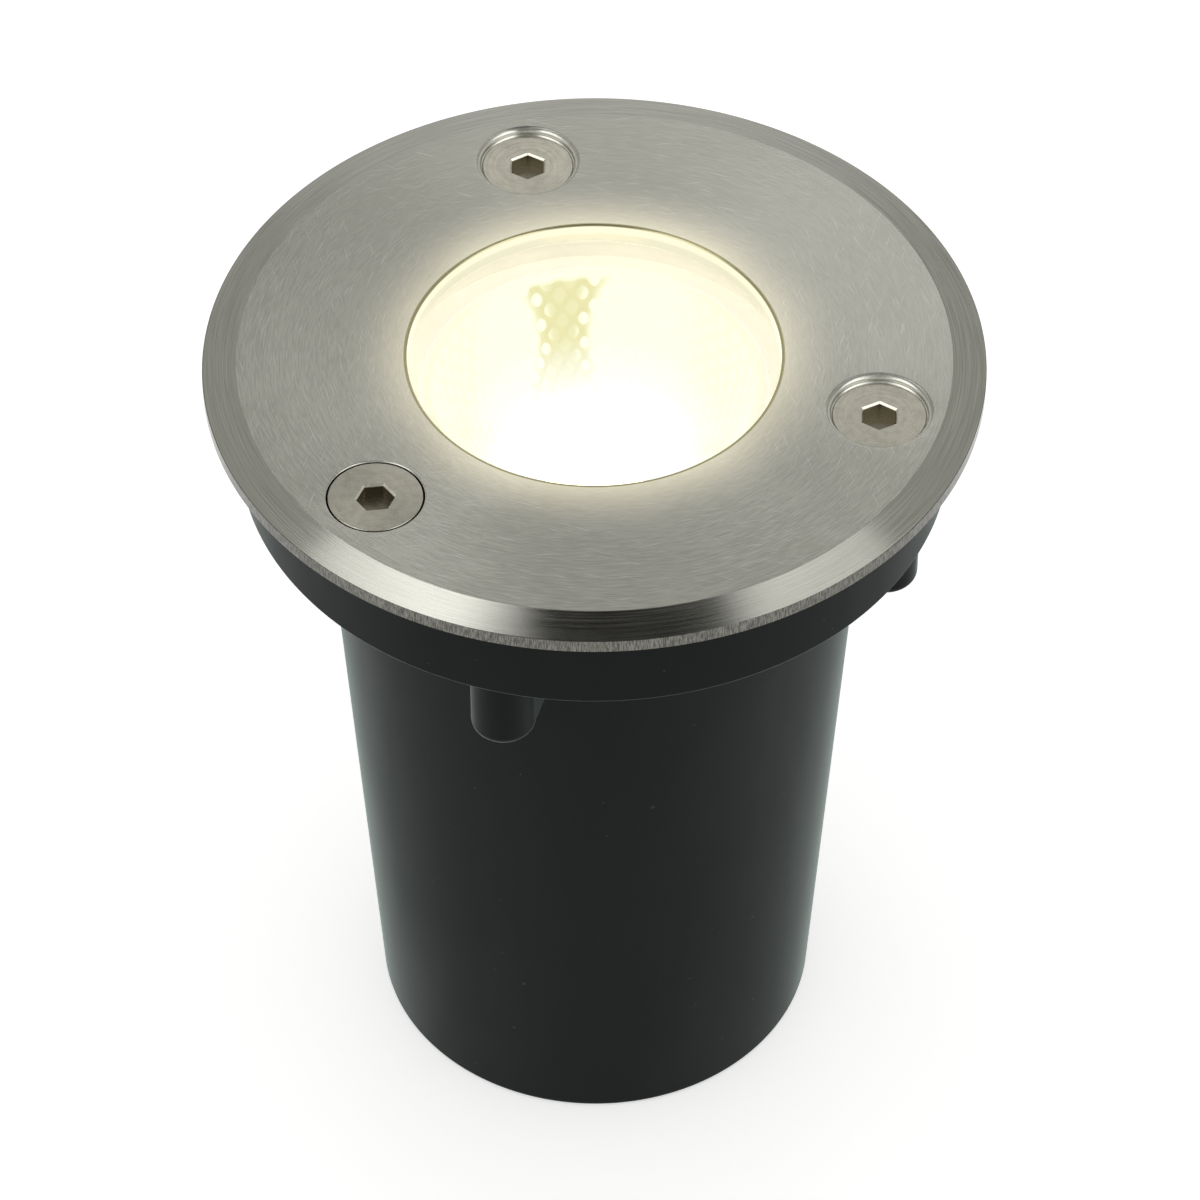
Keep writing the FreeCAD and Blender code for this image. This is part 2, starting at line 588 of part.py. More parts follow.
def bezel():
    """Disc with a bevelled edge, the window and three stepped, countersunk screw holes."""
    top = "Dims.overall_height"
    body = turned("bezel", [
        ("Dims.window_radius", BEZEL_UNDER),
        (BEZEL_R, BEZEL_UNDER),
        (BEZEL_R, "%s - Dims.bezel_bevel_drop" % top),
        ((BEZEL_R + " - Dims.bezel_bevel_width"), top),
        ("Dims.window_radius + Dims.window_chamfer", top),
        ("Dims.window_radius", "%s - Dims.window_chamfer" % top)])
    x, y = polar(SCREW_CIRCLE_R, "Dims.screw_azimuth")
    wide = "(Dims.screw_recess_radius - Dims.screw_head_radius - Dims.screw_seat_clearance)"
    cone_top = "(%s - Dims.screw_head_land + %s)" % (SCREW_TOP, wide)
    sk = sketch(body, "recess_round", "XY_Plane", top)
    ring(sk, x, y, "Dims.screw_recess_radius")
    recess = pocket(body, sk, "screw_recess_bore", "%s - %s" % (top, cone_top))
    sk = sketch(body, "seat_round", "XY_Plane", cone_top)
    ring(sk, x, y, "Dims.screw_recess_radius")
    seat = pocket(body, sk, "screw_seat_cone", "%s - %s" % (cone_top, BEZEL_UNDER))
    seat.TaperAngle = -45
    doc.recompute()
    around(body, [recess, seat], "screw_hole_pattern", SCREW_COUNT)
    return body


def cover_screw(number, recess, turn):
    """Countersunk screw with its origin at the middle of its head's face."""
    cone_end = "(Dims.screw_head_land + Dims.screw_head_radius - Dims.screw_radius)"
    body = turned("cover_screw_%d" % number, [
        ("0", "0"),
        ("0", "-Dims.screw_length"),
        ("Dims.screw_radius - Dims.screw_tip_chamfer", "-Dims.screw_length"),
        ("Dims.screw_radius", "Dims.screw_tip_chamfer - Dims.screw_length"),
        ("Dims.screw_radius", "-%s" % cone_end),
        ("Dims.screw_head_radius", "-Dims.screw_head_land"),
        ("Dims.screw_head_radius", "0")])
    sk = sketch(body, "socket_outline_%d" % number, "XY_Plane")
    hexagon(sk, "Dims.socket_across_flats", str(turn))
    pocket(body, sk, "socket_%d" % number, "Dims.socket_depth")
    sk = sketch(body, "socket_mouth_outline_%d" % number, "XY_Plane")
    ring(sk, "0", "0", "Dims.socket_across_flats / 2 + Dims.socket_mouth_chamfer * 1.1")
    mouth = pocket(body, sk, "socket_mouth_%d" % number, "Dims.socket_mouth_chamfer")
    mouth.TaperAngle = -45
    doc.recompute()
    x, y = polar(SCREW_CIRCLE_R, "Dims.screw_azimuth + %d * 360 / %d" % (number - 1, SCREW_COUNT))
    body.setExpression("Placement.Base.x", x)
    body.setExpression("Placement.Base.y", y)
    body.setExpression("Placement.Base.z", "Dims.overall_height - %s" % recess)
    doc.recompute()
    return body


def front_glass():
    c = "Dims.glass_edge_chamfer"
    return turned("front_glass", [
        ("0", GLASS_UNDER),
        ((GLASS_R + " - %s") % c, GLASS_UNDER),
        (GLASS_R, "%s + %s" % (GLASS_UNDER, c)),
        (GLASS_R, "%s - %s" % (GLASS_TOP, c)),
        ((GLASS_R + " - %s") % c, GLASS_TOP),
        ("0", GLASS_TOP)])


def seals():
    edge = "(%s - Dims.glass_edge_chamfer)" % GLASS_R
    washer("upper_glass_seal", "%s - Dims.upper_seal_width" % edge, edge, GLASS_TOP, BEZEL_UNDER)
    washer("lower_glass_seal", "%s - Dims.lower_seal_width" % edge, edge, SEAT, GLASS_UNDER)


def lamp_centring_ring():
    wall = "(%s + Dims.ring_ledge - Dims.ring_wall_clearance)" % CAN_IN_TOP
    washer("lamp_centring_ring", "Dims.lamp_radius + Dims.ring_clearance", wall,
           RING_UNDER, "%s + Dims.ring_height" % RING_UNDER)


def bowl(inset):
    """Points of the reflector's bowl from its rim to its throat, moved outward by inset."""
    points = []
    for part in (1.0, 0.75, 0.5, 0.25, 0.0):
        grow = "(Dims.reflector_throat_radius + (%s - Dims.reflector_throat_radius) * %.4f)" % (
            BOWL_R, part ** 0.55)
        high = "(%s + Dims.reflector_depth * %.4f)" % (BOWL_FLOOR, part)
        points.append(("%s + %s" % (grow, inset), high))
    return points


def lamp_shell():
    """Lamp body: rim, tapered shell, neck and base, hollowed for the reflector and the LED."""
    inside = bowl("Dims.reflector_wall")
    outer = [
        ("0", LAMP_FOOT),
        ("Dims.lamp_base_radius", LAMP_FOOT),
        ("Dims.lamp_base_radius", LAMP_NECK),
        ("Dims.lamp_neck_radius", LAMP_NECK),
        ("Dims.lamp_neck_radius", "%s + Dims.lamp_neck_height" % LAMP_NECK),
        ("Dims.lamp_radius", "%s - Dims.lamp_rim_height" % LAMP_RIM),
        ("Dims.lamp_radius", LAMP_RIM)]
    inner = inside + [
        ("Dims.led_radius", BOWL_FLOOR),
        ("Dims.led_radius", "%s - Dims.led_thickness" % BOWL_FLOOR),
        ("0", "%s - Dims.led_thickness" % BOWL_FLOOR)]
    return turned("lamp_shell", outer + inner)


def lamp_reflector():
    inside = bowl("0")
    outside = bowl("Dims.reflector_wall")
    return turned("lamp_reflector", inside + list(reversed(outside)))


def led_module():
    return turned("led_module", [
        ("0", "%s - Dims.led_thickness" % BOWL_FLOOR),
        ("Dims.led_radius - 0.1", "%s - Dims.led_thickness" % BOWL_FLOOR),
        ("Dims.led_radius - 0.1", BOWL_FLOOR),
        ("0", BOWL_FLOOR)])


def cylinder(name, radius, height, x="0", y="0", z="0", angle=None):
    piece = doc.addObject("Part::Cylinder", name)
    piece.setExpression("Radius", radius)
    piece.setExpression("Height", height)
    piece.setExpression("Placement.Base.x", x)
    piece.setExpression("Placement.Base.y", y)
    piece.setExpression("Placement.Base.z", z)
    if angle:
        piece.setExpression("Angle", angle)
    return piece


def cuboid(name, length, width, height, x, y, z):
    """Box centred on x and y, standing on z."""
    piece = doc.addObject("Part::Box", name)
    piece.setExpression("Length", length)
    piece.setExpression("Width", width)
    piece.setExpression("Height", height)
    piece.setExpression("Placement.Base.x", "%s - (%s) / 2" % (x, length))
    piece.setExpression("Placement.Base.y", "%s - (%s) / 2" % (y, width))
    piece.setExpression("Placement.Base.z", z)
    return piece


def joined(name, pieces):
    fusion = doc.addObject("Part::MultiFuse", name)
    fusion.Shapes = pieces
    fusion.Refine = True
    doc.recompute()
    return fusion


def grouped(name, pieces):
    """Several separate solids kept in one node."""
    group = doc.addObject("Part::Compound", name)
    group.Links = pieces
    doc.recompute()
    return group


def less(name, base, tool):
    cut = doc.addObject("Part::Cut", name)
    cut.Base = base
    cut.Tool = tool
    doc.recompute()
    if cut.Shape.Volume > base.Shape.Volume - 1e-6:
        raise RuntimeError("cut %s takes nothing away" % name)
    return cut


def both_sides(offset):
    return (("a", "(%s)" % offset), ("b", "-(%s)" % offset))


def lamp_pins():
    pins = []
    for tag, x in both_sides("Dims.pin_spacing / 2"):
        neck = cylinder("pin_neck_" + tag, "Dims.pin_neck_radius", "Dims.pin_neck_length", x, "0", HEAD_TOP)
        head = cylinder("pin_head_" + tag, "Dims.pin_head_radius", "Dims.pin_head_length", x, "0", PIN_END)
        pins.append(joined("pin_" + tag, [neck, head]))
    return grouped("lamp_pins", pins)


def arc_slot(name, half_width, height, z):
    """Pair of curved slots about Z, from the pins' place at rest to where they lift out."""
    ring_r = "(Dims.pin_spacing / 2)"
    spread = "asin((%s) / %s) / 1 deg" % (half_width, ring_r)
    cutters = []
    for tag, start in (("a", 0), ("b", 180)):
        sector = cylinder(name + "_sector_" + tag, "%s + %s" % (ring_r, half_width), height, z=z,
                          angle="Dims.bayonet_turn + 2 * %s" % spread)
        core = cylinder(name + "_core_" + tag, "%s - %s" % (ring_r, half_width), height, z=z)
        sector.setExpression("Placement.Rotation.Angle", "%d - %s" % (start, spread))
        sector.setExpression("Placement.Rotation.Axis.z", "1")
        doc.recompute()
        cutters.append(less(name + "_band_" + tag, sector, core))
    return cutters


def lampholder():
    """Ceramic bayonet holder: curved slots for the pins, a channel for their heads, wire holes."""
    body = cylinder("holder_round", "Dims.holder_radius", "Dims.holder_height", z=HOLDER_UNDER)
    slots = arc_slot("pin_slot", "(Dims.pin_neck_radius + Dims.pin_clearance)",
                     "%s - %s + 1" % (HOLDER_TOP, HEAD_TOP), HEAD_TOP)
    wide = "(Dims.pin_head_radius + Dims.pin_clearance)"
    channel_top = "(%s + Dims.pin_clearance)" % HEAD_TOP
    channel_low = "(%s - Dims.pin_clearance)" % PIN_END
    deep = "%s - %s" % (channel_top, channel_low)
    roomy = "(%s + Dims.channel_relief)" % wide
    outer = cylinder("channel_outer", "Dims.pin_spacing / 2 + %s" % roomy, deep, z=channel_low)
    inner = cylinder("channel_inner", "Dims.pin_spacing / 2 - %s" % roomy, deep, z=channel_low)
    cutters = slots + [less("channel", outer, inner)]
    for tag, start in (("a", 0), ("b", 180)):
        x, y = polar("Dims.pin_spacing / 2", "%d + Dims.bayonet_turn" % start)
        tall = "%s - %s + 1" % (HOLDER_TOP, HEAD_TOP)
        cutters.append(cylinder("pin_entry_" + tag, wide, tall, x, y, HEAD_TOP))
    for tag, x in both_sides("Dims.pin_spacing / 2"):
        well_low = "(%s - Dims.contact_length)" % CONTACT_TOP
        cutters.append(cylinder("contact_well_" + tag, "Dims.contact_radius + Dims.small_screw_clearance",
                                "%s - %s + 1" % (channel_low, well_low), x, "0", well_low))
        wire = cylinder("wire_hole_" + tag, "Dims.wire_radius + Dims.wire_clearance", "Dims.holder_radius + 1",
                        x, "0", WIRE_ENTRY)
        wire.Placement.Rotation = FreeCAD.Rotation(V(1, 0, 0), -90)
        cutters.append(wire)
    for tag, y in both_sides("Dims.holder_screw_offset"):
        cutters.append(cylinder("ear_hole_" + tag, "Dims.small_screw_radius + Dims.small_screw_clearance",
                                "Dims.holder_height + 2", "0", y, "%s - 1" % HOLDER_UNDER))
        cutters.append(cylinder("ear_sink_" + tag, "Dims.small_screw_head_radius + Dims.screw_sink_clearance",
                                "Dims.holder_screw_sink + 1", "0", y, SINK_FLOOR))
    return less("lampholder", body, joined("holder_cutters", cutters))


def holder_contacts():
    low = "%s - Dims.contact_length" % CONTACT_TOP
    contacts = []
    for tag, x in both_sides("Dims.pin_spacing / 2"):
        contacts.append(cylinder("contact_" + tag, "Dims.contact_radius", "Dims.contact_length", x, "0", low))
    return grouped("holder_contacts", contacts)


def small_screw(name, x, y, seat, reach):
    """Cylinder-head screw whose head stands on the level seat and whose shank reaches down."""
    head = cylinder(name + "_head", "Dims.small_screw_head_radius", "Dims.small_screw_head", x, y, seat)
    shank = cylinder(name + "_shank", "Dims.small_screw_radius", reach, x, y, "%s - (%s)" % (seat, reach))
    slot = cuboid(name + "_slot", "Dims.small_screw_head_radius * 2 + 1", "Dims.small_screw_radius / 2",
                  "Dims.small_screw_head", x, y, "%s + Dims.small_screw_head / 2" % seat)
    return less(name, joined(name + "_blank", [head, shank]), slot)


def holder_screws():
    reach = "%s - %s + Dims.small_screw_tip" % (SINK_FLOOR, BRACKET_UNDER)
    pair = [small_screw("holder_screw_" + tag, "0", y, SINK_FLOOR, reach)
            for tag, y in both_sides("Dims.holder_screw_offset")]
    return grouped("holder_screws", pair)


def bracket_screws():
    seat = "(%s + Dims.bracket_sheet)" % CAN_FLOOR_TOP
    reach = "Dims.bracket_sheet + Dims.foot_screw_sink"
    pair = [small_screw("bracket_screw_" + tag, x, "0", seat, reach)
            for tag, x in both_sides(FOOT_SCREW_X)]
    return grouped("bracket_screws", pair)


def lampholder_bracket():
    """Steel strap: plate under the lampholder, two legs with feet and a tab for the terminal block."""
    sheet_t = "Dims.bracket_sheet"
    tall = "%s - %s" % (HOLDER_UNDER, CAN_FLOOR_TOP)
    parts = [cuboid("bracket_plate", "Dims.holder_radius * 2", "%s + Dims.bracket_width / 2" % TAB_Y, sheet_t,
                    "0", "(%s - Dims.bracket_width / 2) / 2" % TAB_Y, BRACKET_UNDER)]
    parts.append(cuboid("bracket_arm", "Dims.bracket_length", "Dims.bracket_leg_width", sheet_t, "0", "0",
                        BRACKET_UNDER))
    for tag, x in both_sides("Dims.bracket_length / 2 - Dims.bracket_sheet / 2"):
        parts.append(cuboid("bracket_leg_" + tag, sheet_t, "Dims.bracket_leg_width", tall, x, "0",
                            CAN_FLOOR_TOP))
    for tag, x in both_sides("Dims.bracket_length / 2 - Dims.bracket_foot / 2"):
        parts.append(cuboid("bracket_foot_" + tag, "Dims.bracket_foot", "Dims.bracket_leg_width", sheet_t, x,
                            "0", CAN_FLOOR_TOP))
    parts.append(cuboid("bracket_tab", "Dims.tab_width", sheet_t, "%s - %s" % (HOLDER_UNDER, BLOCK_UNDER), "0",
                        "%s - Dims.bracket_sheet / 2" % TAB_Y, BLOCK_UNDER))
    cutters = []
    for tag, x in both_sides(FOOT_SCREW_X):
        cutters.append(cylinder("foot_hole_" + tag, "Dims.small_screw_radius + Dims.small_screw_clearance",
                                "Dims.bracket_sheet + 2", x, "0", "%s - 1" % CAN_FLOOR_TOP))
    for tag, y in both_sides("Dims.holder_screw_offset"):
        cutters.append(cylinder("plate_hole_" + tag, "Dims.small_screw_radius + Dims.small_screw_clearance",
                                "Dims.bracket_sheet + 2", "0", y, "%s - 1" % BRACKET_UNDER))
    return less("lampholder_bracket", joined("bracket_blank", parts), joined("bracket_holes", cutters))


def block_spots():
    return (("earth", "-Dims.block_pitch"), ("neutral", "0"), ("live", "Dims.block_pitch"))


def terminal_block():
    """Three-pole block on the tab: wire holes through its height, screw holes from its outer face."""
    body = cuboid("block_blank", "Dims.block_length", "Dims.block_depth", "Dims.block_height", "0",
                  BLOCK_MID_Y, BLOCK_UNDER)
    cutters = []
    for tag, x in block_spots():
        cutters.append(cylinder("block_wire_" + tag, "Dims.wire_radius + Dims.wire_clearance",
                                "Dims.block_height + 2", x, BLOCK_MID_Y, "%s - 1" % BLOCK_UNDER))
        hole = cylinder("block_hole_" + tag, "Dims.block_screw_radius + Dims.small_screw_clearance",
                        "Dims.block_screw_length + 1", x,
                        "%s + Dims.block_depth - Dims.block_screw_length" % TAB_Y,
                        "%s + Dims.block_height / 2" % BLOCK_UNDER)
        hole.Placement.Rotation = FreeCAD.Rotation(V(1, 0, 0), -90)
        cutters.append(hole)
    return less("terminal_block", body, joined("block_cutters", cutters))


def terminal_screws():
    screws = []
    for tag, x in block_spots():
        screw = cylinder("terminal_screw_" + tag, "Dims.block_screw_radius",
                         "Dims.block_screw_length - Dims.small_screw_clearance + Dims.block_screw_proud", x,
                         "%s + Dims.block_depth - Dims.block_screw_length + Dims.small_screw_clearance" % TAB_Y,
                         "%s + Dims.block_height / 2" % BLOCK_UNDER)
        screw.Placement.Rotation = FreeCAD.Rotation(V(1, 0, 0), -90)
        screws.append(screw)
    return grouped("terminal_screws", screws)


def wire(label, route):
    """Round wire along straight runs joined by tangent arcs, as large as the runs allow."""
    points = [V(*[val(c) for c in p]) for p in route]
    edges = []
    start = points[0]
    for i in range(1, len(points) - 1):
        before = (points[i] - points[i - 1])
        after = (points[i + 1] - points[i])
        turn = before.getAngle(after)
        reach = 0.45 * min(before.Length, after.Length)
        radius = reach / math.tan(turn / 2)
        entry = points[i] - before.normalize() * reach
        leave = points[i] + after.normalize() * reach
        inward = (after - before).normalize()
        middle = points[i] + inward * (radius / math.cos(turn / 2) - radius)
        edges.append(Part.LineSegment(start, entry).toShape())
        edges.append(Part.Arc(entry, middle, leave).toShape())
        print("%s bend radius %.2f, %.1f degrees" % (label, radius, math.degrees(turn)))
        start = leave
    edges.append(Part.LineSegment(start, points[-1]).toShape())
    path = Part.Wire(edges)
    thick = val("Dims.wire_radius")
    section = Part.Wire([Part.makeCircle(thick, points[0], points[1] - points[0])])
    solid = path.makePipeShell([section], True, True)
    full = math.pi * thick * thick * path.Length
    if abs(solid.Volume - full) > 0.01 * full:
        raise RuntimeError("wire %s has the wrong volume" % label)
    piece = doc.addObject("Part::Feature", label)
    piece.Shape = solid
    piece.Placement = FreeCAD.Placement()
    return piece


def leads():
    """Internal leads: live and neutral up to the lampholder, earth over to the earth point."""
    low = "%s - Dims.wire_tail" % BLOCK_TOP
    end_y = "Dims.contact_radius + Dims.small_screw_clearance + 0.1"
    for label, side in (("lead_live", "1"), ("lead_neutral", "-1")):
        wire(label, [
            ("%s * Dims.block_pitch" % side, BLOCK_MID_Y, low),
            ("%s * Dims.pin_spacing / 2" % side, BLOCK_MID_Y, WIRE_ENTRY),
            ("%s * Dims.pin_spacing / 2" % side, end_y, WIRE_ENTRY)])
    barrel_y = "Dims.earth_y + Dims.earth_barrel_offset"
    barrel_top = "%s + Dims.earth_ring_thickness + Dims.earth_barrel_height" % CAN_FLOOR_TOP
    rise = "%s + Dims.earth_lead_rise" % low
    wire("lead_earth", [
        ("0", BLOCK_MID_Y, low),
        ("0", BLOCK_MID_Y, rise),
        ("-Dims.earth_x / 2 + 0.5", "%s + Dims.earth_lead_swing" % BLOCK_MID_Y,
         "%s + Dims.earth_lead_arch" % rise),
        ("-Dims.earth_x", barrel_y, "%s + 1" % rise),
        ("-Dims.earth_x", barrel_y, "%s - Dims.wire_tail" % barrel_top)])


def earth_terminal():
    """Ring terminal flat on the floor of the can with an upright barrel for the earth lead."""
    thick = "Dims.earth_ring_thickness"
    x = "-Dims.earth_x"
    barrel_y = "(Dims.earth_y + Dims.earth_barrel_offset)"
    disc = cylinder("earth_disc", "Dims.earth_ring_radius", thick, x, "Dims.earth_y", CAN_FLOOR_TOP)
    tongue = cuboid("earth_tongue", "Dims.earth_tongue_width", "Dims.earth_barrel_offset", thick, x,
                    "(Dims.earth_y + Dims.earth_barrel_offset / 2)", CAN_FLOOR_TOP)
    barrel = cylinder("earth_barrel", "Dims.earth_barrel_radius", "%s + Dims.earth_barrel_height" % thick, x,
                      barrel_y, CAN_FLOOR_TOP)
    hole = cylinder("earth_hole", "Dims.small_screw_radius + Dims.small_screw_clearance", "%s + 2" % thick, x,
                    "Dims.earth_y", "%s - 1" % CAN_FLOOR_TOP)
    mouth = cylinder("earth_wire_hole", "Dims.wire_radius + Dims.wire_clearance", "Dims.earth_barrel_height",
                     x, barrel_y, "%s + %s + 1" % (CAN_FLOOR_TOP, thick))
    blank = joined("earth_blank", [disc, tongue, barrel])
    return less("earth_terminal", blank, joined("earth_holes", [hole, mouth]))


def earth_screw():
    return small_screw("earth_screw", "-Dims.earth_x", "Dims.earth_y",
                       "(%s + Dims.earth_ring_thickness)" % CAN_FLOOR_TOP,
                       "Dims.earth_ring_thickness + Dims.foot_screw_sink")


def gland_body():
    """Gland: barrel and seal pocket below, hexagon, threaded neck through the floor of the can."""
    neck_top = "(%s + Dims.gland_thread_proud)" % NUT_TOP
    body = turned("gland_body", [
        ("0", BARREL_END),
        ("Dims.gland_barrel_radius", BARREL_END),
        ("Dims.gland_barrel_radius", HEX_UNDER),
        ("Dims.gland_thread_radius", HEX_UNDER),
        ("Dims.gland_thread_radius", neck_top),
        ("0", neck_top)])
    sk = sketch(body, "gland_hex_outline", "XY_Plane", HEX_UNDER)
    hexagon(sk, "Dims.gland_hex_flats")
    pad(body, sk, "gland_hex", "Dims.gland_hex_height")
    drill(body, "gland_bore", (("0", "0"),), "Dims.gland_bore_radius", neck_top,
          "%s - %s" % (neck_top, BARREL_END))
    sk = sketch(body, "gland_pocket_round", "XY_Plane", BARREL_END)
    ring(sk, "0", "0", "Dims.gland_pocket_radius")
    pocket(body, sk, "gland_pocket", "Dims.gland_seal_length", up=True)
    return body


def gland_nut():
    body = doc.addObject("PartDesign::Body", "gland_nut")
    sk = sketch(body, "gland_nut_outline", "XY_Plane", CAN_FLOOR_TOP)
    hexagon(sk, "Dims.gland_nut_flats", "30")
    pad(body, sk, "gland_nut_hex", "Dims.gland_nut_height")
    drill(body, "gland_nut_bore", (("0", "0"),), "Dims.gland_thread_radius + 0.1", NUT_TOP,
          "Dims.gland_nut_height")
    return body


def gland_rings():
    washer("gland_washer", "Dims.gland_thread_radius + 0.1", "Dims.gland_washer_radius", HEX_TOP,
           CAN_BOTTOM)
    washer("gland_seal", "Dims.cable_radius", "Dims.gland_pocket_radius - Dims.cap_wall_clearance",
           BARREL_END, "%s + Dims.gland_seal_length" % BARREL_END)


def gland_cap():
    inner = "(Dims.gland_barrel_radius + Dims.cap_wall_clearance)"
    c = "Dims.cap_edge_chamfer"
    return turned("gland_cap", [
        ("Dims.gland_bore_radius", CAP_UNDER),
        ("Dims.cap_radius - %s" % c, CAP_UNDER),
        ("Dims.cap_radius", "%s + %s" % (CAP_UNDER, c)),
        ("Dims.cap_radius", "%s + Dims.cap_length" % CAP_UNDER),
        (inner, "%s + Dims.cap_length" % CAP_UNDER),
        (inner, BARREL_END),
        ("Dims.gland_bore_radius", BARREL_END)])


installation_sleeve()
flange_gasket()
lamp_housing()
bezel()
cover_screw(1, "Dims.screw_recess", 90)
cover_screw(2, "Dims.loose_screw_recess", 7)
cover_screw(3, "Dims.screw_recess", 93)
front_glass()
seals()
lamp_centring_ring()
lamp_shell()
lamp_reflector()
led_module()
lamp_pins()
lampholder()
holder_contacts()
holder_screws()
lampholder_bracket()
bracket_screws()
terminal_block()
terminal_screws()
leads()
earth_terminal()
earth_screw()
gland_body()
gland_nut()
gland_rings()
gland_cap()
doc.recompute()

NODES = [
    "installation_sleeve", "flange_gasket", "lamp_housing", "bezel", "cover_screw_1", "cover_screw_2",
    "cover_screw_3", "front_glass", "upper_glass_seal", "lower_glass_seal", "lamp_centring_ring",
    "lamp_shell", "lamp_reflector", "led_module", "lamp_pins", "lampholder", "holder_contacts",
    "holder_screws", "lampholder_bracket", "bracket_screws", "terminal_block", "terminal_screws",
    "lead_live", "lead_neutral", "lead_earth", "earth_terminal", "earth_screw", "gland_body",
    "gland_nut", "gland_washer", "gland_seal", "gland_cap"]

for item in doc.Objects:
    if "Invalid" in item.State or "Error" in item.State:
        raise RuntimeError("%s failed: %s" % (item.Name, item.State))
pieces = []
for node in NODES:
    piece = [o for o in doc.Objects if o.Label == node][0]
    if piece.Shape.isNull() or not piece.Shape.isValid():
        raise RuntimeError("%s has no valid shape" % node)
    pieces.append(piece)
os.makedirs("parts", exist_ok=True)
for piece in pieces:
    piece.Shape.exportStep("parts/%s.step" % piece.Label)
    print("%-22s %d solid(s) %10.1f mm3" % (piece.Label, len(piece.Shape.Solids), piece.Shape.Volume))
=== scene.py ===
import math

import bmesh
import bpy
from mathutils import Matrix, Vector


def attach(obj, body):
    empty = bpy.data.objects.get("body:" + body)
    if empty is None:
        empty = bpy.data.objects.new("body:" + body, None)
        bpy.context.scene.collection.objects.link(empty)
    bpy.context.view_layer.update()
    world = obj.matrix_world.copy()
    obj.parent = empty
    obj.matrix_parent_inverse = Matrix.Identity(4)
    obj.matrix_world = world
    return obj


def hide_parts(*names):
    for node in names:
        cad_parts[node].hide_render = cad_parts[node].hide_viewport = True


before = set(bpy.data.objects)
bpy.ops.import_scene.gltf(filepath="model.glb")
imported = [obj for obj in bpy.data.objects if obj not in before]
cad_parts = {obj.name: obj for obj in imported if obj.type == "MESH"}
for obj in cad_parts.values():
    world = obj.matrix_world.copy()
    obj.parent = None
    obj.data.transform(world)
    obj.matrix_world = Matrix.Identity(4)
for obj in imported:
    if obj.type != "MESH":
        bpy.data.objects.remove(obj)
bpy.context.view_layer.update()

MM = 0.001

# ------------------------------------------------------------------ sizes of the light
BEZEL_R, BEZEL_TOP, BEZEL_UNDER = 55.0, 127.0, 124.0
BEVEL_WIDTH, BEVEL_DROP = 4.75, 1.0
WINDOW_R = 26.25
SCREW_CIRCLE, HEAD_R, RECESS_R = 41.3, 6.55, 6.78
# each screw's name, azimuth in degrees, depth of the head below the face, and turn of its socket
SCREWS = [("cover_screw_1", 103.5, 1.0, 30.0), ("cover_screw_2", 223.5, 0.1, 7.0),
          ("cover_screw_3", 343.5, 1.0, 27.0)]
# a head sunk less than this lies in a hole with a narrower mouth
NEARLY_FLUSH = 0.5
BOSS_CIRCLE, BOSS_R, BOSS_BORE_R = 43.3, 4.55, 2.6
BOSS_AZIMUTHS = [343.0 + 90.0 * k for k in range(4)]
BOWL_FOOT, BOWL_DEPTH, BOWL_WALL = 100.1, 19.0, 0.8
THROAT_R, BOWL_SPREAD, BOWL_FLARE = 8.0, 15.0, 0.55
# rows and rings of the bowl crowd towards its throat by this power
CROWDING = 1.5
CHIP_R = 7.0


# ------------------------------------------------------------------ colours and nodes
# kinds of node that come often, their usual settings, and the sums
MATH, RANGE, MIX = "ShaderNodeMath", "ShaderNodeMapRange", "ShaderNodeMix"
NOISE, XYZ, VECTORS = "ShaderNodeTexNoise", "ShaderNodeCombineXYZ", "ShaderNodeVectorMath"
SMOOTH = {"interpolation_type": "SMOOTHSTEP"}
COLOURS = {"data_type": "RGBA", "out": 2}
# most values of a noise lie between these, and a noise of scale 1 has blobs about so wide
LOW, HIGH = 0.3, 0.7
BLOB = 0.6
TIMES, PLUS, MINUS, OVER, POWER, LARGER, SIZE, ROOT = (
    {"operation": sum_name} for sum_name in
    ("MULTIPLY", "ADD", "SUBTRACT", "DIVIDE", "POWER", "MAXIMUM", "ABSOLUTE", "SQRT"))


def srgb(code):
    """Linear colour of an sRGB hex value such as "#A0B0C0"."""
    parts = [int(code[i:i + 2], 16) / 255 for i in (1, 3, 5)]
    linear = [c / 12.92 if c <= 0.04045 else ((c + 0.055) / 1.055) ** 2.4 for c in parts]
    return (*linear, 1.0)


def add(tree, kind, *inputs, named=None, out=0, **settings):
    """Adds one node and gives an output of it, or all where out is None. Settings are its options.
    Its inputs, by place or by name, are sockets to link or values to type in; None skips a place."""
    node = tree.nodes.new(kind)
    for name, value in settings.items():
        setattr(node, name, value)
    for key, item in (*enumerate(inputs), *(named or {}).items()):
        if hasattr(item, "links"):
            tree.links.new(item, node.inputs[key])
        elif item is not None:
            node.inputs[key].default_value = item
    return node.outputs if out is None else node.outputs[out]


def new_material(name):
    """Empty material and its tree."""
    material = bpy.data.materials.new(name)
    material.use_nodes = True
    material.node_tree.nodes.clear()
    return material, material.node_tree


def place(tree):
    """Object position in millimetres, and its three parts."""
    metres = add(tree, "ShaderNodeTexCoord", out="Object")
    spot = add(tree, VECTORS, metres, named={"Scale": 1.0 / MM}, operation="SCALE")
    return (spot, *add(tree, "ShaderNodeSeparateXYZ", spot, out=None))


def turned_frame(tree, centre=(0.0, 0.0)):
    """Position about an upright axis: as place gives it, then the radius and the outward direction,
    across which a round brushing spreads a highlight."""
    spot, x, y, z = place(tree)
    x = add(tree, MATH, x, centre[0], **MINUS)
    y = add(tree, MATH, y, centre[1], **MINUS)
    arm = add(tree, XYZ, x, y, 0.0)
    radius = add(tree, VECTORS, arm, operation="LENGTH", out="Value")
    outward = add(tree, VECTORS, arm, operation="NORMALIZE")
    return spot, x, y, z, radius, outward


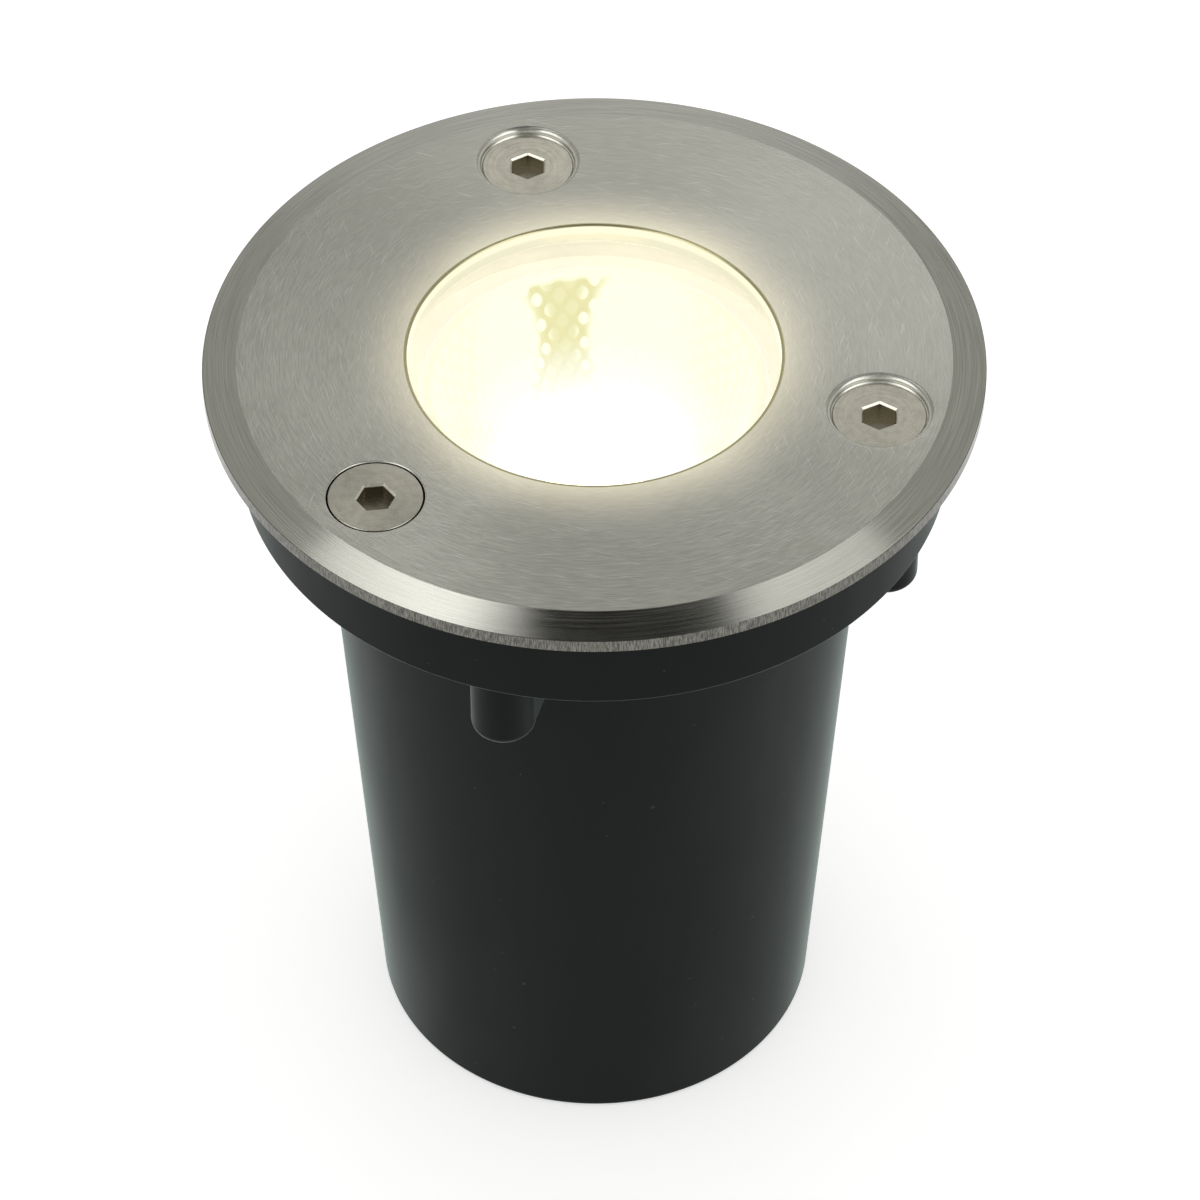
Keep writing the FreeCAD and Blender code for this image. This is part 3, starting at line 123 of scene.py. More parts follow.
def two_tones(tree, pattern, low, high, start=LOW, end=HIGH):
    """Two near tones of one finish, parted by a pattern."""
    part = add(tree, RANGE, pattern, start, end, **SMOOTH)
    return add(tree, MIX, part, named={6: srgb(low), 7: srgb(high)}, **COLOURS)


def mottled(tree, pattern, low, high, grain, share):
    """Roughness that drifts with one pattern, and with a share of a finer grain."""
    drift = add(tree, RANGE, pattern, LOW, HIGH, low, high, **SMOOTH)
    return add(tree, MATH, drift, add(tree, MATH, grain, share, **TIMES), **PLUS)


def surface(tree, inputs, relief=None):
    """Closes a material: relief is its pattern, its strength and its depth in millimetres."""
    if relief:
        pattern, strength, depth = relief
        inputs = inputs | {"Normal": add(tree, "ShaderNodeBump", strength, depth * MM,
                                         named={"Height": pattern})}
    shader = add(tree, "ShaderNodeBsdfPrincipled", named=inputs)
    add(tree, "ShaderNodeOutputMaterial", shader, out=None)


# ------------------------------------------------------------------ materials
def stainless_bezel():
    """Stainless steel (grade 304), brushed on a turntable: short fine scratches that follow the rim
    and pull each highlight out along the radius, longer ones on the bevel, a few that slant across,
    and the lamp's warm spill by the window."""
    material, tree = new_material("stainless_steel_brushed")
    spot, x, y, z, radius, outward = turned_frame(tree)
    unit_x = add(tree, MATH, x, radius, **OVER)
    unit_y = add(tree, MATH, y, radius, **OVER)
    # the way out along the face, then down the bevel and the rim
    reach = add(tree, MATH, radius, add(tree, MATH, BEZEL_TOP, z, **MINUS), **PLUS)

    def scratches(length, width):
        """Noise drawn out round the axis; the length holds 40 mm from the axis."""
        turn = 40.0 / length
        drawn = add(tree, XYZ, add(tree, MATH, unit_x, turn, **TIMES),
                    add(tree, MATH, unit_y, turn, **TIMES), add(tree, MATH, reach, 1.0 / width, **TIMES))
        return add(tree, NOISE, drawn, None, 1.0, 2.0, 0.65)

    # real scratches are 0.05 mm wide; drawn about three times as wide, they show in the render
    fine = scratches(2.6, 0.16)
    deep = scratches(9.0, 0.13)
    cloud = add(tree, NOISE, spot, None, 0.055, 3.0, 0.6)
    front = add(tree, RANGE, add(tree, MATH, unit_y, **SIZE), 0.55, 0.80, **SMOOTH)
    flanks = add(tree, MATH, 1.0, front, **MINUS)
    flat = add(tree, RANGE, z, BEZEL_TOP - 0.04, BEZEL_TOP - 0.01, **SMOOTH)
    bevel = add(tree, RANGE, radius, BEZEL_R - BEVEL_WIDTH - 0.05, BEZEL_R - BEVEL_WIDTH + 0.15, **SMOOTH)

    # stray scratches 4.5 mm long at four angles, each only where it catches the light; their relief is real,
    # their lighter colour a painted glint
    strays_and_glint = 0.0
    for turn, share in ((-0.38, front), (0.14, front), (1.30, flanks), (1.85, flanks)):
        turned = add(tree, "ShaderNodeMapping", spot, vector_type="TEXTURE",
                     named={"Rotation": (0, 0, turn), "Scale": (4.5, 0.20, 1000.0)})
        streak = add(tree, RANGE, add(tree, NOISE, turned, None, 1.0, 1.0, 0.5), 0.64, 0.78, **SMOOTH)
        strays_and_glint = add(tree, MATH, strays_and_glint, add(tree, MATH, streak, share, **TIMES), **LARGER)
    strays_and_glint = add(tree, MATH, strays_and_glint, flat, **TIMES)

    grain = add(tree, MIX, bevel, None, fine, deep)
    tone = add(tree, MATH, add(tree, MATH, grain, 0.62, **TIMES),
               add(tree, MATH, cloud, 0.38, **TIMES), **PLUS)
    colour = two_tones(tree, tone, "#BCBCB5", "#D1D1CA", 0.36, 0.64)
    # painted glint: the stray scratches are lightened towards near white
    part = add(tree, MATH, strays_and_glint, 0.45, **TIMES)
    colour = add(tree, MIX, part, named={6: colour, 7: srgb("#F2F2EE")}, **COLOURS)
    part = add(tree, MATH, bevel, 0.75, **TIMES)
    streaky = two_tones(tree, deep, "#B3B3AD", "#D0D0CA")
    colour = add(tree, MIX, part, named={6: colour, 7: streaky}, **COLOURS)
    rough = add(tree, MATH, add(tree, RANGE, tone, LOW, HIGH, 0.20, 0.26, **SMOOTH),
                add(tree, MATH, bevel, 0.07, **TIMES), **MINUS)
    height = add(tree, MATH, grain, add(tree, MATH, strays_and_glint, 0.5, **TIMES), **PLUS)
    height = add(tree, MATH, height, add(tree, RANGE, bevel, 0.0, 1.0, 1.0, 0.4, **SMOOTH), **TIMES)

    # the lamp's warm spill on the face, gone 11 mm from the window, and stronger to front and back
    spill = add(tree, MATH, add(tree, RANGE, radius, 26.2, 37.0, 1.0, 0.0), 2.2, **POWER)
    share = add(tree, MATH, add(tree, MATH, front, 0.12, **TIMES), 0.33, **PLUS)
    spill = add(tree, MATH, add(tree, MATH, spill, share, **TIMES), flat, **TIMES)
    # the broken edge round the window is tinted olive, and takes no spill
    face = add(tree, RANGE, radius, WINDOW_R + 0.43, WINDOW_R + 0.57, **SMOOTH)
    spill = add(tree, MATH, spill, face, **TIMES)
    edge = add(tree, MATH, 1.0, face, **MINUS)
    colour = add(tree, MIX, edge, named={6: colour, 7: srgb("#C4BE98")}, **COLOURS)
    # the window's own wall is flooded with light
    wall = add(tree, MATH, add(tree, RANGE, radius, WINDOW_R + 0.20, WINDOW_R + 0.07, **SMOOTH),
               add(tree, RANGE, z, BEZEL_TOP - 0.10, BEZEL_TOP - 0.25, **SMOOTH), **TIMES)
    flood = add(tree, RANGE, z, 125.2, 125.8, 0.76, 0.90, **SMOOTH)
    glow = add(tree, MATH, spill, add(tree, MATH, wall, flood, **TIMES), **PLUS)
    light = add(tree, MIX, wall, named={6: srgb("#FFF3CC"), 7: srgb("#FFFADD")}, **COLOURS)
    colour = add(tree, MIX, wall, named={6: colour, 7: srgb("#5A574A")}, **COLOURS)
    # the sheared rim is painted much darker than the face, a painted shade, with short upright marks 0.15 mm
    # apart
    side = add(tree, RANGE, radius, BEZEL_R - 0.12, BEZEL_R - 0.06, **SMOOTH)
    upright = add(tree, XYZ, add(tree, MATH, unit_x, 360.0, **TIMES),
                  add(tree, MATH, unit_y, 360.0, **TIMES), add(tree, MATH, z, 0.9, **TIMES))
    marks = add(tree, NOISE, upright, None, 1.0, 2.0, 0.6)
    rim = two_tones(tree, marks, "#4E4D48", "#7C7B75", 0.35, 0.65)
    colour = add(tree, MIX, side, named={6: colour, 7: rim}, **COLOURS)
    surface(tree, {"Metallic": 1.0, "Anisotropic": 0.78, "Base Color": colour, "Roughness": rough,
                   "Tangent": outward, "Emission Color": light, "Emission Strength": glow},
            (height, 0.25, 0.0016))
    return material


def stainless_screw(name, centre, top):
    """Stainless steel screw, turned and satin tumbled: nearly mirror, with faint rings 0.2 mm wide."""
    material, tree = new_material(name)
    spot, x, y, z, radius, outward = turned_frame(tree, centre)
    wound = add(tree, XYZ, add(tree, MATH, radius, 5.2, **TIMES), add(tree, MATH, x, 0.06, **TIMES),
                add(tree, MATH, y, 0.06, **TIMES))
    rings = add(tree, NOISE, wound, None, 1.0, 2.0, 0.5)
    stain = add(tree, NOISE, spot, None, 0.9, 2.0, 0.5)
    colour = two_tones(tree, stain, "#D6D3C7", "#C8C5B9", 0.35, 0.75)
    # down in the broached socket the steel is painted darker and browner, a painted shade of the recess
    socket_shade = add(tree, MATH, add(tree, RANGE, radius, 2.9, 2.5, **SMOOTH),
               add(tree, RANGE, z, top - 0.3, top - 0.5, **SMOOTH), **TIMES)
    colour = add(tree, MIX, socket_shade, named={6: colour, 7: srgb("#868072")}, **COLOURS)
    rough = add(tree, RANGE, rings, LOW, HIGH, 0.24, 0.31, **SMOOTH)
    surface(tree, {"Metallic": 1.0, "Anisotropic": 0.35, "Base Color": colour, "Roughness": rough,
                   "Tangent": outward}, (rings, 0.06, 0.006))
    return material


def moulded_sleeve():
    """Glass-filled polypropylene, injection moulded in a spark-eroded tool: matt anthracite with a
    fine grain of 0.2 mm and cloudy flow about 18 mm wide, a few faint dust specks."""
    material, tree = new_material("polypropylene_moulded_anthracite")
    spot, *_ = place(tree)
    grain = add(tree, NOISE, spot, None, 4.2, 2.0, 0.6)
    upright = add(tree, "ShaderNodeMapping", spot, named={"Scale": (1, 1, 0.35)})
    flow = add(tree, NOISE, upright, None, 0.055, 3.0, 0.55)
    dust = add(tree, RANGE, add(tree, NOISE, spot, None, 0.9, 0.0, 0.5), 0.86, 0.885, **SMOOTH)
    dust = add(tree, MATH, dust, 0.13, **TIMES)
    colour = two_tones(tree, flow, "#060B0A", "#0A100E")
    colour = add(tree, MIX, dust, named={6: colour, 7: srgb("#70766F")}, **COLOURS)
    rough = mottled(tree, flow, 0.40, 0.50, grain, 0.08)
    surface(tree, {"IOR": 1.49, "Specular IOR Level": 0.09, "Sheen Weight": 1.0,
                   "Sheen Roughness": 0.24, "Sheen Tint": srgb("#DCEEE8"), "Base Color": colour,
                   "Roughness": rough}, (grain, 0.35, 0.03))
    return material


def die_cast_aluminium():
    """Aluminium alloy, die-cast and shot blasted: pale grey, a frosted grain of 0.3 mm, soft shine."""
    material, tree = new_material("aluminium_die_cast")
    spot, _, _, z, radius, outward = turned_frame(tree)
    grain = add(tree, NOISE, spot, None, 3.0, 3.0, 0.6)
    flow = add(tree, NOISE, spot, None, 0.07, 3.0, 0.6)
    # the lamp's light falls on the wall and the seat beside it, and on none of the faces outside,
    # which look outward or down
    beside = add(tree, MATH, add(tree, RANGE, z, 110.0, 116.0, **SMOOTH),
                 add(tree, RANGE, radius, 33.5, 33.2, **SMOOTH), **TIMES)
    away = add(tree, VECTORS, outward, (0, 0, -1), **PLUS)
    facing = add(tree, "ShaderNodeNewGeometry", out="Normal")
    outside = add(tree, VECTORS, away, facing, operation="DOT_PRODUCT", out="Value")
    beside = add(tree, MATH, beside, add(tree, RANGE, outside, 0.0, -0.4, **SMOOTH), **TIMES)
    surface(tree, {"Metallic": 1.0, "Base Color": two_tones(tree, flow, "#B4B5B4", "#C9CAC8"),
                   "Roughness": mottled(tree, flow, 0.42, 0.52, grain, 0.10),
                   "Emission Color": srgb("#FFF1D7"),
                   "Emission Strength": add(tree, MATH, beside, 0.50, **TIMES)}, (grain, 0.5, 0.05))
    return material


def toughened_glass():
    """Soda-lime glass, toughened and ground at its edge: clear, with a faint green in its depth.
    Shadow rays pass, so the lamp's chamber gets the studio's light too."""
    material, tree = new_material("soda_lime_glass_toughened")
    *_, radius, _ = turned_frame(tree)
    ground = add(tree, RANGE, radius, 32.2, 32.6, 0.0, 0.35, **SMOOTH)
    clear = add(tree, "ShaderNodeBsdfPrincipled", named={
        "Base Color": srgb("#FAFDFB"), "Transmission Weight": 1.0, "IOR": 1.5, "Roughness": ground})
    shadow = add(tree, "ShaderNodeLightPath", out="Is Shadow Ray")
    through = add(tree, "ShaderNodeBsdfTransparent", (0.95, 0.97, 0.95, 1.0))
    glass = add(tree, "ShaderNodeMixShader", shadow, clear, through)
    add(tree, "ShaderNodeOutputMaterial", glass, out=None)
    return material


def soft_moulding(name, low, high, rough, ior, grain_size, lit=None, above=0.0):
    """Moulded or fired non-metal: two near tones in soft clouds and a fine grain of the given size.
    What the lamp floods with light glows by the given strength above a height."""
    material, tree = new_material(name)
    spot, _, _, z = place(tree)
    grain = add(tree, NOISE, spot, None, BLOB / grain_size, 2.0, 0.6)
    flow = add(tree, NOISE, spot, None, 0.08, 3.0, 0.55)
    inputs = {"IOR": ior, "Base Color": two_tones(tree, flow, low, high),
              "Roughness": mottled(tree, flow, rough, rough + 0.08, grain, 0.06),
              "Emission Color": srgb("#FFF4E3")}
    if lit:
        inputs["Emission Strength"] = add(tree, RANGE, z, above, above + 0.6, 0.0, lit, **SMOOTH)
    surface(tree, inputs, (grain, 0.3, 0.1 * grain_size))
    return material


def plated_metal(name, low, high, rough, grain_size=0.15):
    """Plated or drawn metal: two near tones of the coat and a fine tumbled grain."""
    material, tree = new_material(name)
    spot, *_ = place(tree)
    grain = add(tree, NOISE, spot, None, BLOB / grain_size, 2.0, 0.6)
    flow = add(tree, NOISE, spot, None, 0.26, 3.0, 0.6)
    surface(tree, {"Metallic": 1.0, "Base Color": two_tones(tree, flow, low, high),
                   "Roughness": mottled(tree, flow, rough, rough + 0.1, grain, 0.05)},
            (grain, 0.25, 0.01))
    return material


def metallised_reflector():
    """Aluminium evaporated on moulded facets, flooded with warm light that whitens towards the
    throat. The facets show at the sides as a faint lattice, and on the wall behind as a deeper
    yellow waisted patch with bright spots, where they mirror the dim gap round the chip."""
    material, tree = new_material("aluminium_evaporated_mirror")
    spot, x, y, z = place(tree)
    haze = add(tree, NOISE, spot, None, 0.6, 2.0, 0.5)
    dome = add(tree, "ShaderNodeAttribute", attribute_name="facet_dome", out="Fac")
    lattice = add(tree, RANGE, dome, 0.70, 0.42, **SMOOTH)
    # the waisted patch: its middle left of the axis, its half width least at the waist
    middle, waist, waist_height, widening = -4.4, 3.6, 110.5, 0.044
    off = add(tree, MATH, add(tree, MATH, x, -middle, **PLUS), **SIZE)
    rise = add(tree, MATH, z, waist_height, **MINUS)
    half = add(tree, MATH, add(tree, MATH, rise, rise, **TIMES), widening, **TIMES)
    part = add(tree, MATH, off, add(tree, MATH, half, waist, **PLUS), **OVER)
    patch = add(tree, RANGE, part, 1.20, 0.75, **SMOOTH)
    for along, start, end in ((y, 3.0, 8.0), (z, 100.5, 112.0), (z, 118.7, 117.8)):
        patch = add(tree, MATH, patch, add(tree, RANGE, along, start, end, **SMOOTH), **TIMES)
    cells = add(tree, MATH, lattice, add(tree, RANGE, part, 0.75, 0.35, 0.0, 0.85, **SMOOTH), **LARGER)
    # at the flanks, where the facets are seen nearly edge on, their joints and the flank as a whole are
    # painted a little darker: painted shade
    flank = add(tree, MATH, add(tree, RANGE, x, 10.5, 17.0, **SMOOTH),
                add(tree, RANGE, x, -14.5, -18.5, **SMOOTH), **LARGER)
    joint_and_flank_shade = add(tree, MATH, add(tree, MATH, lattice, 0.13, **TIMES), 0.06, **PLUS)
    shade_of = add(tree, MATH, add(tree, MATH, cells, patch, **TIMES),
                   add(tree, MATH, joint_and_flank_shade, flank, **TIMES), **LARGER)
    white = add(tree, RANGE, z, 110.5, 101.0)
    warm, deep = (add(tree, MIX, white, named={6: srgb(rim), 7: srgb(throat)}, **COLOURS)
                  for rim, throat in (("#FFFFE4", "#FFFFFE"), ("#E5DDA2", "#F2EDE2")))
    light = add(tree, MIX, shade_of, named={6: warm, 7: deep}, **COLOURS)
    colour = add(tree, MIX, shade_of, named={6: srgb("#5F5D52"), 7: srgb("#4A463A")}, **COLOURS)
    surface(tree, {"Metallic": 1.0, "Base Color": colour, "Emission Color": light,
                   "Roughness": add(tree, RANGE, haze, LOW, HIGH, 0.38, 0.46, **SMOOTH),
                   "Emission Strength": add(tree, RANGE, white, 0.5, 1.0, 1.04, 1.30)})
    return material


def lit_phosphor():
    """Yellow phosphor in silicone over the chip, lit: a warm white source."""
    material, tree = new_material("phosphor_silicone_lit")
    spot, *_ = place(tree)
    cells = add(tree, "ShaderNodeTexVoronoi", spot, named={"Scale": 0.9}, out="Distance")
    surface(tree, {"Base Color": srgb("#FFE9A8"), "Roughness": 0.4, "Emission Color": srgb("#FFF0CC"),
                   "Emission Strength": add(tree, RANGE, cells, 0.0, 0.6, 4.0, 3.2, **SMOOTH)})
    return material


def insulated_wire(name, low, high, stripe=None):
    """Wire insulation, extruded PVC: smooth and slightly waxy."""
    material, tree = new_material(name)
    spot, x, y, z = place(tree)
    cloud = add(tree, NOISE, spot, None, 0.5, 2.0, 0.5)
    colour = two_tones(tree, cloud, low, high)
    if stripe:
        # the second colour in bands 1.5 mm wide that lean across the wire
        band = 1.5
        lean = add(tree, MATH, add(tree, MATH, x, y, **PLUS), z, **PLUS)
        wave = add(tree, MATH, add(tree, MATH, lean, math.pi / band, **TIMES), operation="SINE")
        part = add(tree, RANGE, wave, -0.1, 0.1, **SMOOTH)
        colour = add(tree, MIX, part, named={6: colour, 7: srgb(stripe)}, **COLOURS)
    surface(tree, {"IOR": 1.53, "Base Color": colour,
                   "Roughness": add(tree, RANGE, cloud, LOW, HIGH, 0.30, 0.38, **SMOOTH)})
    return material


# ------------------------------------------------------------------ shapes
def soften(points, radii, steps=5):
    """Closed outline with each corner rounded by its radius (0 keeps it sharp). A rounding takes at
    most a given share of a side."""
    count = len(points)
    most = 0.45
    result = []
    for i, (here, size) in enumerate(zip(points, radii)):
        if not size:
            result.append(here)
            continue
        spot = Vector(here)
        before = Vector(points[i - 1]) - spot
        after = Vector(points[(i + 1) % count]) - spot
        reach_b, reach_a = before.length, after.length
        before.normalize()
        after.normalize()
        half = before.angle(after) / 2
        cut = min(size / math.tan(half), reach_b * most, reach_a * most)
        radius = cut * math.tan(half)
        centre = spot + (before + after).normalized() * (radius / math.sin(half))
        start = spot + before * cut - centre
        end = spot + after * cut - centre
        sweep = math.pi - 2 * half
        for k in range(steps + 1):
            part = k / steps
            arm = (start * math.sin((1 - part) * sweep) + end * math.sin(part * sweep)) / math.sin(sweep)
            result.append(tuple(centre + arm))
    return result


def to_object(name, mesh):
    """Object of a finished bmesh, its faces turned outward."""
    bmesh.ops.recalc_face_normals(mesh, faces=mesh.faces)
    data = bpy.data.meshes.new(name)
    mesh.to_mesh(data)
    mesh.free()
    thing = bpy.data.objects.new(name, data)
    bpy.context.scene.collection.objects.link(thing)
    return thing


def lathe(name, profile, segments=192, centre=(0.0, 0.0)):
    """Closed solid turned about an upright axis from a closed outline of (radius, height)."""
    mesh = bmesh.new()
    rings = []
    for radius, height in profile:
        if radius < 1e-6:
            rings.append([mesh.verts.new((centre[0] * MM, centre[1] * MM, height * MM))])
            continue
        ring = []
        for k in range(segments):
            angle = 2 * math.pi * k / segments
            ring.append(mesh.verts.new(((centre[0] + radius * math.cos(angle)) * MM,
                                        (centre[1] + radius * math.sin(angle)) * MM, height * MM)))
        rings.append(ring)
    for i, ring in enumerate(rings):
        other = rings[(i + 1) % len(rings)]
        if len(ring) == 1 and len(other) == 1:
            continue
        for k in range(segments):
            n = (k + 1) % segments
            if len(ring) == 1:
                mesh.faces.new((ring[0], other[n], other[k]))
            elif len(other) == 1:
                mesh.faces.new((ring[k], ring[n], other[0]))
            else:
                mesh.faces.new((ring[k], ring[n], other[n], other[k]))
    return to_object(name, mesh)


def prism(name, corners, low, high, centre=(0.0, 0.0), flare=1.0):
    """Upright solid over a flat outline, its upper outline grown by the flare."""
    mesh = bmesh.new()
    floor, roof = ([mesh.verts.new(((centre[0] + x * grow) * MM, (centre[1] + y * grow) * MM, height * MM))
                    for x, y in corners] for grow, height in ((1.0, low), (flare, high)))
    mesh.faces.new(floor)
    mesh.faces.new(roof)
    for i in range(len(corners)):
        n = (i + 1) % len(corners)
        mesh.faces.new((floor[i], floor[n], roof[n], roof[i]))
    return to_object(name, mesh)


def discard(thing):
    """Removes a tool or part once it is used."""
    bpy.data.objects.remove(thing, do_unlink=True)


def bake(thing):
    """Turns the object's modifiers into plain mesh."""
    bpy.context.view_layer.update()
    result = bpy.data.meshes.new_from_object(thing.evaluated_get(bpy.context.evaluated_depsgraph_get()))
    thing.modifiers.clear()
    thing.data = result
    return thing


def combine(thing, others, operation):
    """Cuts the others out of the solid, or joins them to it."""
    for other in others:
        step = thing.modifiers.new("shape", "BOOLEAN")
        step.operation = operation
        step.solver = "EXACT"
        step.object = other
    bake(thing)
    for other in others:
        discard(other)
    return thing


def shade(thing, angle=32.0, rounding=0.0):
    """Smooth faces with crisp edges over the angle; flat faces keep their own direction. A rounding
    breaks those edges first."""
    if rounding:
        step = thing.modifiers.new("edges", "BEVEL")
        step.width = rounding * MM
        step.segments = 2
        step.limit_method = "ANGLE"
        step.angle_limit = math.radians(angle)
        step.use_clamp_overlap = True
        bake(thing)
    thing.data.shade_smooth()
    thing.data.set_sharp_from_angle(angle=math.radians(angle))
    step = thing.modifiers.new("normals", "WEIGHTED_NORMAL")
    step.keep_sharp = True
    step.weight = 50
    return bake(thing)


def dress(thing, material, body, slot, *nodes):
    """Gives a finished piece its material and its place in the assembly."""
    thing.data.materials.clear()
    thing.data.materials.append(material)
    for face in thing.data.polygons:
        face.material_index = 0
    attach(thing, body)
    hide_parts(*nodes)
    return thing


def on_circle(radius, azimuth):
    """Point at a radius and an azimuth in degrees."""
    turn = math.radians(azimuth)
    return radius * math.cos(turn), radius * math.sin(turn)


# ------------------------------------------------------------------ the bezel
def make_bezel():
    """Plate with its bevel, its window and three countersunk holes."""
    outline = [(WINDOW_R, BEZEL_UNDER), (BEZEL_R, BEZEL_UNDER), (BEZEL_R, BEZEL_TOP - BEVEL_DROP),
               (BEZEL_R - BEVEL_WIDTH, BEZEL_TOP), (WINDOW_R, BEZEL_TOP)]
    rounding = [0.15, 0.12, 0.10, 0.5, 0.3]
    plate = lathe("bezel_plate", soften(outline, rounding, 4), 256)
    cutters = []
    for _, azimuth, recess, _ in SCREWS:
        # straight recess with a broken top edge, then the 45 degree seat of the head
        mouth = [(7.60, 127.0), (7.38, 126.97), (7.16, 126.88), (6.98, 126.74), (6.85, 126.55),
                 (6.79, 126.32)]
        if recess < NEARLY_FLUSH:
            mouth = [(7.00, 127.0), (6.88, 126.95), (6.80, 126.85), (RECESS_R, 126.70)]
        above, below = BEZEL_TOP + 3.0, BEZEL_UNDER - 1.0
        seat = [(RECESS_R, below + 3.1), (RECESS_R - 3.1, below)]
        tool = [(0.0, above), (mouth[0][0] + 0.1, above), *mouth, *seat, (0.0, below)]
        cutters.append(lathe("recess_tool", tool, 96, on_circle(SCREW_CIRCLE, azimuth)))
    combine(plate, cutters, "DIFFERENCE")
    return dress(shade(plate), stainless_bezel(), "cover", "brushed_stainless", "bezel")


# ------------------------------------------------------------------ pieces grown by geometry nodes
def new_grower(name, result, sizes):
    """Empty geometry tree with named inputs for its sizes, and the inputs as sockets."""
    tree = bpy.data.node_groups.new(name, "GeometryNodeTree")
    for label, value in sizes.items():
        kind = {int: "NodeSocketInt", float: "NodeSocketFloat", tuple: "NodeSocketVector"}[type(value)]
        tree.interface.new_socket(label, in_out="INPUT", socket_type=kind).default_value = value
    tree.interface.new_socket(result, in_out="OUTPUT", socket_type="NodeSocketGeometry")
    return tree, add(tree, "NodeGroupInput", out=None)


def close_grower(tree, geometry, material):
    """Ends a tree with its instances made real and its material set."""
    real = add(tree, "GeometryNodeRealizeInstances", geometry)
    done = add(tree, "GeometryNodeSetMaterial", real, named={"Material": material})
    add(tree, "NodeGroupOutput", done, out=None)
    return tree


def grown(name, tree, given):
    """Plain mesh grown by a tree, with its named inputs set by their identifiers."""
    thing = bpy.data.objects.new(name, bpy.data.meshes.new(name))
    bpy.context.scene.collection.objects.link(thing)
    step = thing.modifiers.new("grow", "NODES")
    step.node_group = tree
    names = {s.name: s.identifier for s in tree.interface.items_tree if s.in_out == "INPUT"}
    for key, value in given.items():
        step[names[key]] = value
    return bake(thing)


def merge(thing, other):
    """Adds the other's faces to the piece's mesh."""
    mesh = bmesh.new()
    mesh.from_mesh(thing.data)
    mesh.from_mesh(other.data)
    mesh.to_mesh(thing.data)
    mesh.free()
    discard(other)
    return thing


# ------------------------------------------------------------------ the cover screws
def thread_tree(material):
    """Geometry nodes: a ridge of square section, on its corner, wound along a screw's shank."""
    tree, given = new_grower("screw_thread", "Thread", {
        "Pitch radius": 0.0027, "Turns": 5.5, "Pitch": 0.001, "Ridge": 0.0003, "Start height": 0.116,
        "Centre": (0.0, 0.0, 0.0)})
    coil = add(tree, "GeometryNodeCurveSpiral", named={
        "Resolution": 24, "Rotations": given["Turns"], "Start Radius": given["Pitch radius"],
        "End Radius": given["Pitch radius"],
        "Height": add(tree, MATH, given["Turns"], given["Pitch"], **TIMES)})
    section = add(tree, "GeometryNodeCurvePrimitiveCircle", named={"Resolution": 4, "Radius": given["Ridge"]})
    ridge = add(tree, "GeometryNodeCurveToMesh", named={
        "Curve": coil, "Profile Curve": section, "Fill Caps": True})
    move = add(tree, VECTORS, add(tree, XYZ, None, None, given["Start height"]), given["Centre"], **PLUS)
    placed = add(tree, "GeometryNodeTransform", named={"Geometry": ridge, "Translation": move})
    return close_grower(tree, placed, material)


def hexagon(flats, turn):
    """Corners of a hexagon of the given width across flats."""
    return [on_circle(flats / math.sqrt(3), turn + 60 * k) for k in range(6)]


def make_screw(name, azimuth, recess, turn):
    """Countersunk screw with its socket and its thread."""
    x, y = on_circle(SCREW_CIRCLE, azimuth)
    top = BEZEL_TOP - recess
    shank, length, pitch = 2.45, 10.0, 1.0
    outline = [(0.0, top), (HEAD_R, top), (HEAD_R, top - 0.3), (shank, top - 4.4),
               (shank, top - length + 0.6), (1.9, top - length), (0.0, top - length)]
    rounding = [0, 0.12, 0.08, 0.2, 0.2, 0.15, 0]
    head = lathe(name + "_blank", soften(outline, rounding, 4), 96, (x, y))
    flats, mouth_flats, depth, drill_r = 4.5, 5.1, 1.9, 1.90
    socket = prism("socket_tool", hexagon(flats, turn), top - depth, top + 1.0, (x, y))
    drilled = [(0.0, top - 1.5), (drill_r, top - 1.5), (drill_r, top - depth), (0.0, top - depth - 0.2)]
    drill = lathe("drill_tool", drilled, 48, (x, y))
    mouth = prism("mouth_tool", hexagon(flats, turn), top - 0.30, top + 0.02, (x, y), mouth_flats / flats)
    combine(head, [socket, drill, mouth], "DIFFERENCE")
    shade(head, 30.0, 0.04)
    steel = stainless_screw("stainless_steel_turned_" + name[-1], (x, y), top)
    ridge = grown(name + "_thread", thread_tree(steel), {
        "Pitch radius": 0.00265, "Turns": 5.0, "Pitch": pitch * MM, "Ridge": 0.00030,
        "Start height": (top - length + 0.4) * MM, "Centre": (x * MM, y * MM, 0.0)})
    body = merge(head, ridge)
    body.name = name + "_turned"
    return dress(body, steel, name, "satin_screw_steel", name)


